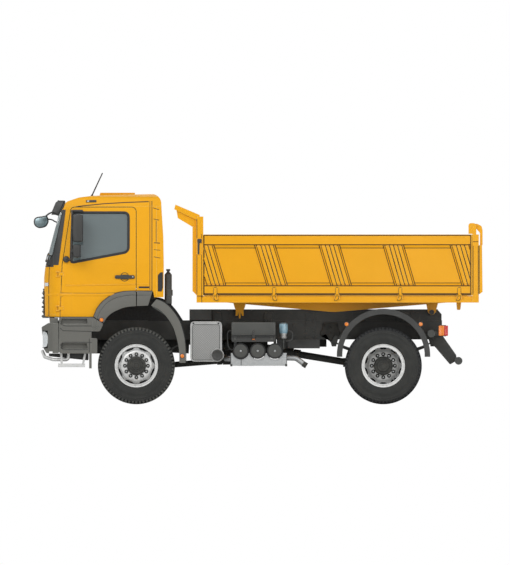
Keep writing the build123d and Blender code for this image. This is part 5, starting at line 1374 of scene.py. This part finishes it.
class LORRY_OT_air_and_exhaust(bpy.types.Operator):
    """Build the air tanks' ends, battery box's lid and latch, filter bowl, pipes, silencer's seams, spring hangers"""
    bl_idname = "lorry.air_and_exhaust"
    bl_label = "Air tanks, battery box and exhaust"

    def execute(self, context):
        ends, bosses = Shape(), Shape()
        for x in (254, 5, -246):
            centre = (x, 1150, 777)
            ends.turn(((100, -3), (115, -3), (115, 4), (110, 8), (104, 6), (100, 2)), centre, steps=56, closed=True)
            bosses.turn(((17, -4), (17, 4), (12, 10), (0.5, 11)), centre, steps=24)
        ends.done("air_tank_rims", "chassis", "seal")
        bosses.done("air_tank_bosses", "chassis", "zinc")
        lid = Shape().plate(box_outline((-256, 388), (1006, 1198), 22, 6), 520, 1190.5, 8)
        lid.plate(box_outline((-236, 368), (1022, 1184), 24, 6), 1184, 1194.5, 5)
        for x in (-200, 332):
            lid.slab((x - 18, x + 18), (930, 996), 6, 1166, 1174, 3)
        lid.done("battery_box_lid", "chassis", "powder")
        Shape().slab((46, 86), (955, 1076), 12, 1170, 1200, 6).slab((56, 76), (990, 1064), 8, 1190, 1208, 5).done(
            "battery_box_latch", "chassis", "black")
        Shape().slab((48, 84), (940, 957), 5, 1166, 1186, 4).done("battery_box_latch_foot", "chassis", "amber")
        joint, pipes = Shape(), Shape()
        for z in (1006, 982):
            joint.trace([(x, z) for x in (-250, 0, 382)], 1188.5, 7, 2)
        joint.done("battery_box_joint", "chassis", "seal")
        for path in AIR_PIPES:
            pipes.tube(path, 12.5, 14)
        pipes.done("air_pipes", "chassis", "black")
        x, y = -370, 1010
        bowl = Shape().turn(((0.5, 1190), (40, 1190), (54, 1183), (59, 1170), (60, 1060), (56.5, 1040), (49, 1033),
                             (46, 1033)), (x, y, 0), "z", 40)
        for a, b in circle(59, 16):
            bowl.turn(((3, 1060), (3, 1160), (0.5, 1166)), (x + a, y + b, 0), "z", 6)
        bowl.done("filter_bowl", "chassis", "bowl")
        Shape().turn(((44.5, 1034), (50, 1034), (50, 1010), (45.5, 1008), (45.5, 996), (50, 994), (50, 968), (46, 960),
                      (44.5, 960)), (x, y, 0), "z", 40, True).done("filter_collars", "chassis", "tank")
        seams, feet = Shape(), Shape()
        line = inset(box_outline((640, 1120), (561, 748), 16, 4), -1)
        for x in (246, 398, -418):
            seams.loft([[(x + a, q.x, q.y) for q in inset(line, -lift)]
                        for a, lift in ((-4, 0), (-3, 2), (3, 2), (4, 0))])
        seams.done("silencer_seams", "chassis", "seal")
        for x in (390, -410):
            feet.box((x - 16, x + 16), (1060, 1126), (553, 588), 4)
        feet.done("silencer_feet", "chassis", "chassis")
        Shape().tube([(-652, 900, 594), (-676, 900, 580), (-708, 900, 560.5)], [40.5, 41.5, 42], 28).done(
            "tail_pipe_end", "chassis", "casting", slot="chassis_paint")
        for at, side in SIDES:
            hanger = Shape().plate(rounded(SPRING_HANGER, 12), 430, 462, 8)
            for x, z in ((-1140, 1150), (-965, 1150), (-1052, 1120), (-1052, 1040)):
                hanger.bolt(x, 462, z, 24)
            hanger.done(f"spring_hanger_{at}", "chassis", "casting", side)
        return {"FINISHED"}


# joints of the step box's mouldings
STEP_LINES = (
    ((2887, 1238), (2887, 1177), (2815, 1142), (2426, 1142)),
    ((2887, 1114), (2846, 1073), (2426, 1062)),
    ((2426, 905), (2846, 905), (2880, 865)),
    ((2880, 865), (2846, 797), (2481, 797)),
    ((2461, 760), (2461, 958)),
)


class LORRY_OT_frame_details(bpy.types.Operator):
    """Build the frame's bolts and bracket plates, the step box's and cab's skirt joints, and the under trays"""
    bl_idname = "lorry.frame_details"
    bl_label = "Frame bolts and brackets"

    def execute(self, context):
        size = context.scene.lorry_sizes.bolt * METRE
        for at, side in SIDES:
            bolts, plates, backs = Shape(), Shape(), Shape()
            for x in (-517, -695, -823):
                for z in (1156, 1073, 989):
                    if (x, z) != (-517, 1073):
                        bolts.bolt(x, 430, z, size)
            for x0, x1 in ((525, 664), (-218, -79), (-837, -699), (-1560, -1420), (-2150, -2010)):
                outline = rounded([(x0, 1205), (x1, 1205), (x1 - 8, 1332), (x0 + 8, 1332)], (4, 4, 22, 22))
                backs.plate(inset(outline, -5), 428.5, 433.5)
                plates.plate(outline, 430, 440, 3)
                for x in (x0 + 32, x1 - 32):
                    bolts.bolt(x, 440, 1221.5, size * 0.9)
            bolts.done(f"frame_bolts_{at}", "chassis", "chassis", side, slot="bare_steel")
            plates.done(f"subframe_brackets_{at}", "chassis", "chassis", side)
            backs.done(f"subframe_bracket_pads_{at}", "chassis", "seal", side)
            skirt = Shape().box((2425, 2892), (1130, 1180), (1246, 1271.5), 3)
            skirt.box((2902.5, 2910.8), (980, 1205), (752, 1130), 2)
            for line in STEP_LINES:
                skirt.strip(line, "step_boxes", 1, 80, 8, 2.2)
            skirt.done(f"skirt_joint_{at}", "chassis", "seal", side)
            Shape().box((2425, 3090), (1060, 1110), (1264, 1278.5), 3).done(f"cab_floor_seal_{at}", "cab", "seal", side)
            tray = rounded([(3050, 741), (3050, 700), (2960, 690), (2470, 640), (2470, 741)], (4, 20, 30, 20, 4))
            Shape().plate(tray, 880, 1040, 6).done(f"under_tray_{at}", "chassis", "black", side)
        return {"FINISHED"}


DOOR_MIRRORS = (((2560, 2366), (2694, 2366), (2704, 2480), (2702, 2770), (2558, 2770)),
                ((2596, 2138), (2692, 2138), (2703, 2230), (2700, 2331), (2591, 2331)))
MIRROR_ARM = ((2706, 1140, 2820), (2712, 1250, 2822), (2713, 1360, 2818), (2713, 1392, 2780), (2713, 1394, 2560),
              (2713, 1394, 2350), (2708, 1392, 2150), (2722, 1370, 2112), (2760, 1290, 2112), (2796, 1200, 2113))
# head of the front mirror, seen from the side
FRONT_MIRROR = ((3272, 2665), (3260, 2705), (3222, 2731), (3155, 2741), (3098, 2752), (3070, 2738), (3054, 2680),
                (3060, 2640), (3098, 2587), (3187, 2568), (3240, 2590), (3266, 2625), (3272, 2665))
VISOR_CHEEK = ((2912, 2972), (2818, 2971), (2807, 2946), (2828, 2865), (2904, 2744), (3001, 2777), (3011, 2800),
               (2953, 2940))


class LORRY_OT_mirrors(bpy.types.Operator):
    """Build the door mirrors and the front mirror with their arms, the sun visor and the aerial"""
    bl_idname = "lorry.mirrors"
    bl_label = "Mirrors, visor and aerial"

    def execute(self, context):
        for at, side in SIDES:
            leaf, heads = f"door_{at}_leaf", Shape()
            for outline in DOOR_MIRRORS:
                heads.plate(rounded(outline, 36), 1290, 1499.5, 20)
            heads.done(f"mirror_heads_{at}", leaf, "black", side, f"mirrors_{at}", 60)
            arms = Shape().tube(curve(MIRROR_ARM, 4), 13.5, 14).slab((2552, 2728), (2802, 2836), 16, 1118, 1176, 10)
            arms.turn(((48, -12), (48, 18), (40, 32), (18, 36), (0.5, 36)), (2796, 1196, 2113), steps=32)
            for x, z in ((2707, 2569), (2712, 2231)):
                arms.slab((x - 24, x + 24), (z - 28, z + 28), 16, 1350, 1436, 10)
            arms.done(f"mirror_arms_{at}", leaf, "black", side)
            for name, x, low, high in (("main", 2556, 2386, 2750), ("wide", 2589, 2154, 2314)):
                Shape().slab((1308, 1482), (low, high), 22, x - 3.5, x + 6, 2, "x").done(
                    f"mirror_glass_{name}_{at}", leaf, "mirror", side)
                outline = box_outline((1302, 1488), (low - 6, high + 6), 26, 6)
                Shape().bead([(Vector((x + 2, q.x, q.y)), Vector((-1, 0, 0))) for q in outline], low_strip(10, 7, 4),
                             True).done(f"mirror_rim_{name}_{at}", leaf, "seal", side)
        outline = curve(FRONT_MIRROR, 4)[:-1]
        head = Shape().plate(outline, -905, -850, 14)
        head.tube(curve([(3095, -876, 2742), (3050, -876, 2778), (2990, -876, 2804), (2930, -876, 2822)], 4), 12)
        head.tube(curve([(3062, -876, 2700), (3005, -876, 2690), (2960, -880, 2664), (2918, -884, 2650)], 4), 10)
        head.done("front_mirror_head", "cab", "black", replaces="cab_outside_fittings")
        Shape().plate(inset(outline, 17), -851, -846.5, 2).done("front_mirror_glass", "cab", "mirror")
        visor = Shape().plate(rounded([(2917, 2980), (3014, 2764), (3001, 2757), (2904, 2973)], 5), -1060, 1060, 4)
        for y in (-380, 380):
            visor.plate(rounded([(2860, 2946), (2912, 2974), (3006, 2764), (2940, 2760)], 12), y - 8, y + 8, 2)
        cheek = rounded(VISOR_CHEEK, (20, 12, 12, 40, 20, 12, 12, 40))
        visor.plate(cheek, 1048, 1142, 22).plate(cheek, -1142, -1048, 22)
        visor.done("sun_visor", "cab", "black", replaces="cab_outside_fittings")
        Shape().tube([(2428, 820, 3030), (2420, 820, 3046), (2412, 820, 3064), (2268, 820, 3372)],
                     [16, 16, 10, 8.5]).done("aerial_rod", "cab", "seal", replaces="cab_outside_fittings")
        return {"FINISHED"}


# ---------------------------------------------------------------- finishes of the carried-over nodes
CARRIED = {
    "enamel": "cab_roof cab_floor cab_front_panel cab_back_wall cab_sides door_left door_right bed_floor "
              "bed_headboard side_wall_left side_wall_right tailgate tailgate_arms",
    "chassis": "ladder_frame cross_members tipper_subframe leaf_springs underrun_guard intake_stack "
               "front_mudguards",
    "powder": "air_tanks",
    "casting": "driveline front_axle rear_axle knuckle_left knuckle_right tie_rod hoist_barrel",
    "silver": "rim_front_left rim_front_right rim_rear_left rim_rear_right tube_guards",
    "plastic": "front_bumper step_boxes door_arch_left door_arch_right cab_arch_corners",
    "amber": "chassis_lamps",
    "tank": "fuel_tank",
    "exhaust": "silencer",
    "black": "cab_grille cab_outside_fittings mirrors_left mirrors_right equipment_boxes rear_wings",
    "seal": "wheel_housings",
    "screen": "cab_glass",
    "glass": "door_glass_left door_glass_right",
    "foam": "cab_interior",
    "rubber": "tyre_front_left tyre_front_right tyre_rear_left tyre_rear_right",
    "chrome": "hoist_stage_1 hoist_stage_2 hoist_stage_3",
}


class LORRY_OT_carried_nodes(bpy.types.Operator):
    """Give every carried-over CAD node its finish"""
    bl_idname = "lorry.carried_nodes"
    bl_label = "Finish the CAD nodes"

    def execute(self, context):
        for made, names in CARRIED.items():
            for name in names.split():
                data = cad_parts[name].data
                data.materials.clear()
                data.materials.append(finish(made))
        missing = set(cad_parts) - set(" ".join(CARRIED.values()).split())
        if missing:
            raise RuntimeError(f"no finish for {sorted(missing)}")
        return {"FINISHED"}


# ---------------------------------------------------------------- stage
FLOOR_HALF = 30
# name, place, aim, size and power of each soft light, in metres and watts
LIGHTS = (
    ("key", (5.5, 8.5, 6.5), (0.3, 0.5, 1.4), 5.0, 370),
    ("low", (-2.5, 12.0, 1.6), (-1.2, 0.5, 0.8), 2.5, 70),
    ("fill", (-7.0, 8.0, 4.0), (-1.0, 0.5, 1.2), 6.0, 230),
    ("back", (0.0, -8.0, 7.0), (0.0, 0.0, 1.5), 6.0, 230),
)
# how many pixels the camera sees across, and how many metres one shows
PIXELS_ACROSS, METRES_TO_PIXEL = 510, 0.01458


class LORRY_OT_stage(bpy.types.Operator):
    """Build the floor, the soft lights and the camera"""
    bl_idname = "lorry.stage"
    bl_label = "Stage"

    def execute(self, context):
        scene = context.scene
        data = bpy.data.meshes.new("studio_floor")
        data.from_pydata([(-FLOOR_HALF, -FLOOR_HALF, 0), (FLOOR_HALF, -FLOOR_HALF, 0), (FLOOR_HALF, FLOOR_HALF, 0),
                          (-FLOOR_HALF, FLOOR_HALF, 0)], [], [(0, 1, 2, 3)])
        data.materials.append(studio_paint())
        piece = bpy.data.objects.new("studio_floor", data)
        scene.collection.objects.link(piece)

        world = bpy.data.worlds.new("studio_world")
        scene.world = world
        world.use_nodes = True
        tree = world.node_tree
        tree.nodes.clear()
        rays = put(tree, "LightPath").outputs
        seen = put(tree, "Math", {0: rays["Is Camera Ray"], 1: rays["Is Glossy Ray"]}, operation="MAXIMUM")
        seen = put(tree, "Math", {0: seen.outputs[0], 1: rays["Is Transmission Ray"]}, operation="MAXIMUM")
        soft = put(tree, "Background", {"Color": (0.93, 0.96, 1.0, 1.0), "Strength": 0.50}).outputs[0]
        white = put(tree, "Background", {"Color": (1.0, 1.0, 1.0, 1.0), "Strength": 1.0}).outputs[0]
        mixed = put(tree, "MixShader", {0: seen.outputs[0], 1: soft, 2: white}).outputs[0]
        put(tree, "OutputWorld", {"Surface": mixed})

        for name, place, aim, size, power in LIGHTS:
            data = bpy.data.lights.new(f"{name}_light", "AREA")
            data.shape = "SQUARE"
            data.size = size
            data.energy = power
            lamp = bpy.data.objects.new(f"{name}_light", data)
            lamp.location = place
            lamp.rotation_euler = (Vector(aim) - Vector(place)).to_track_quat("-Z", "Y").to_euler()
            scene.collection.objects.link(lamp)

        camera = bpy.data.cameras.new("side_camera")
        camera.type = "ORTHO"
        camera.sensor_fit = "HORIZONTAL"
        camera.ortho_scale = PIXELS_ACROSS * METRES_TO_PIXEL
        camera.clip_end = 100
        seat = bpy.data.objects.new("side_camera", camera)
        seat.location = (0.0445, 14.0, 1.7758)
        seat.rotation_euler = (math.pi / 2, 0, math.pi)
        scene.collection.objects.link(seat)
        scene.camera = seat
        scene.view_settings.view_transform = "Standard"
        return {"FINISHED"}


MAKERS = (
    LORRY_OT_carried_nodes, LORRY_OT_tyres, LORRY_OT_wheels, LORRY_OT_hubs, LORRY_OT_lamps, LORRY_OT_window_seals,
    LORRY_OT_door_seals, LORRY_OT_windscreen_surround, LORRY_OT_cab_pressings, LORRY_OT_wheel_arches,
    LORRY_OT_door_handles, LORRY_OT_seats, LORRY_OT_controls, LORRY_OT_drop_sides, LORRY_OT_fuel_tank,
    LORRY_OT_air_and_exhaust, LORRY_OT_frame_details, LORRY_OT_mirrors, LORRY_OT_stage,
)


class LORRY_PT_panel(bpy.types.Panel):
    """Sizes, colours and makers of the lorry's looks"""
    bl_idname = "LORRY_PT_panel"
    bl_label = "Tipper lorry"
    bl_space_type = "VIEW_3D"
    bl_region_type = "UI"
    bl_category = "Lorry"

    def draw(self, context):
        for group in (context.scene.lorry_sizes, context.scene.lorry_colours):
            box = self.layout.box()
            for name in group.__annotations__:
                box.prop(group, name)
        for maker in MAKERS:
            self.layout.operator(maker.bl_idname)


CLASSES = (LorryColours, LorrySizes) + MAKERS + (LORRY_PT_panel,)


def register():
    for made in CLASSES:
        bpy.utils.register_class(made)
    bpy.types.Scene.lorry_colours = PointerProperty(type=LorryColours)
    bpy.types.Scene.lorry_sizes = PointerProperty(type=LorrySizes)


def unregister():
    del bpy.types.Scene.lorry_sizes
    del bpy.types.Scene.lorry_colours
    for made in reversed(CLASSES):
        bpy.utils.unregister_class(made)


def main():
    """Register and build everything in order."""
    register()
    for maker in MAKERS:
        group, name = maker.bl_idname.split(".")
        getattr(getattr(bpy.ops, group), name)()


if __name__ == "__main__":
    main()
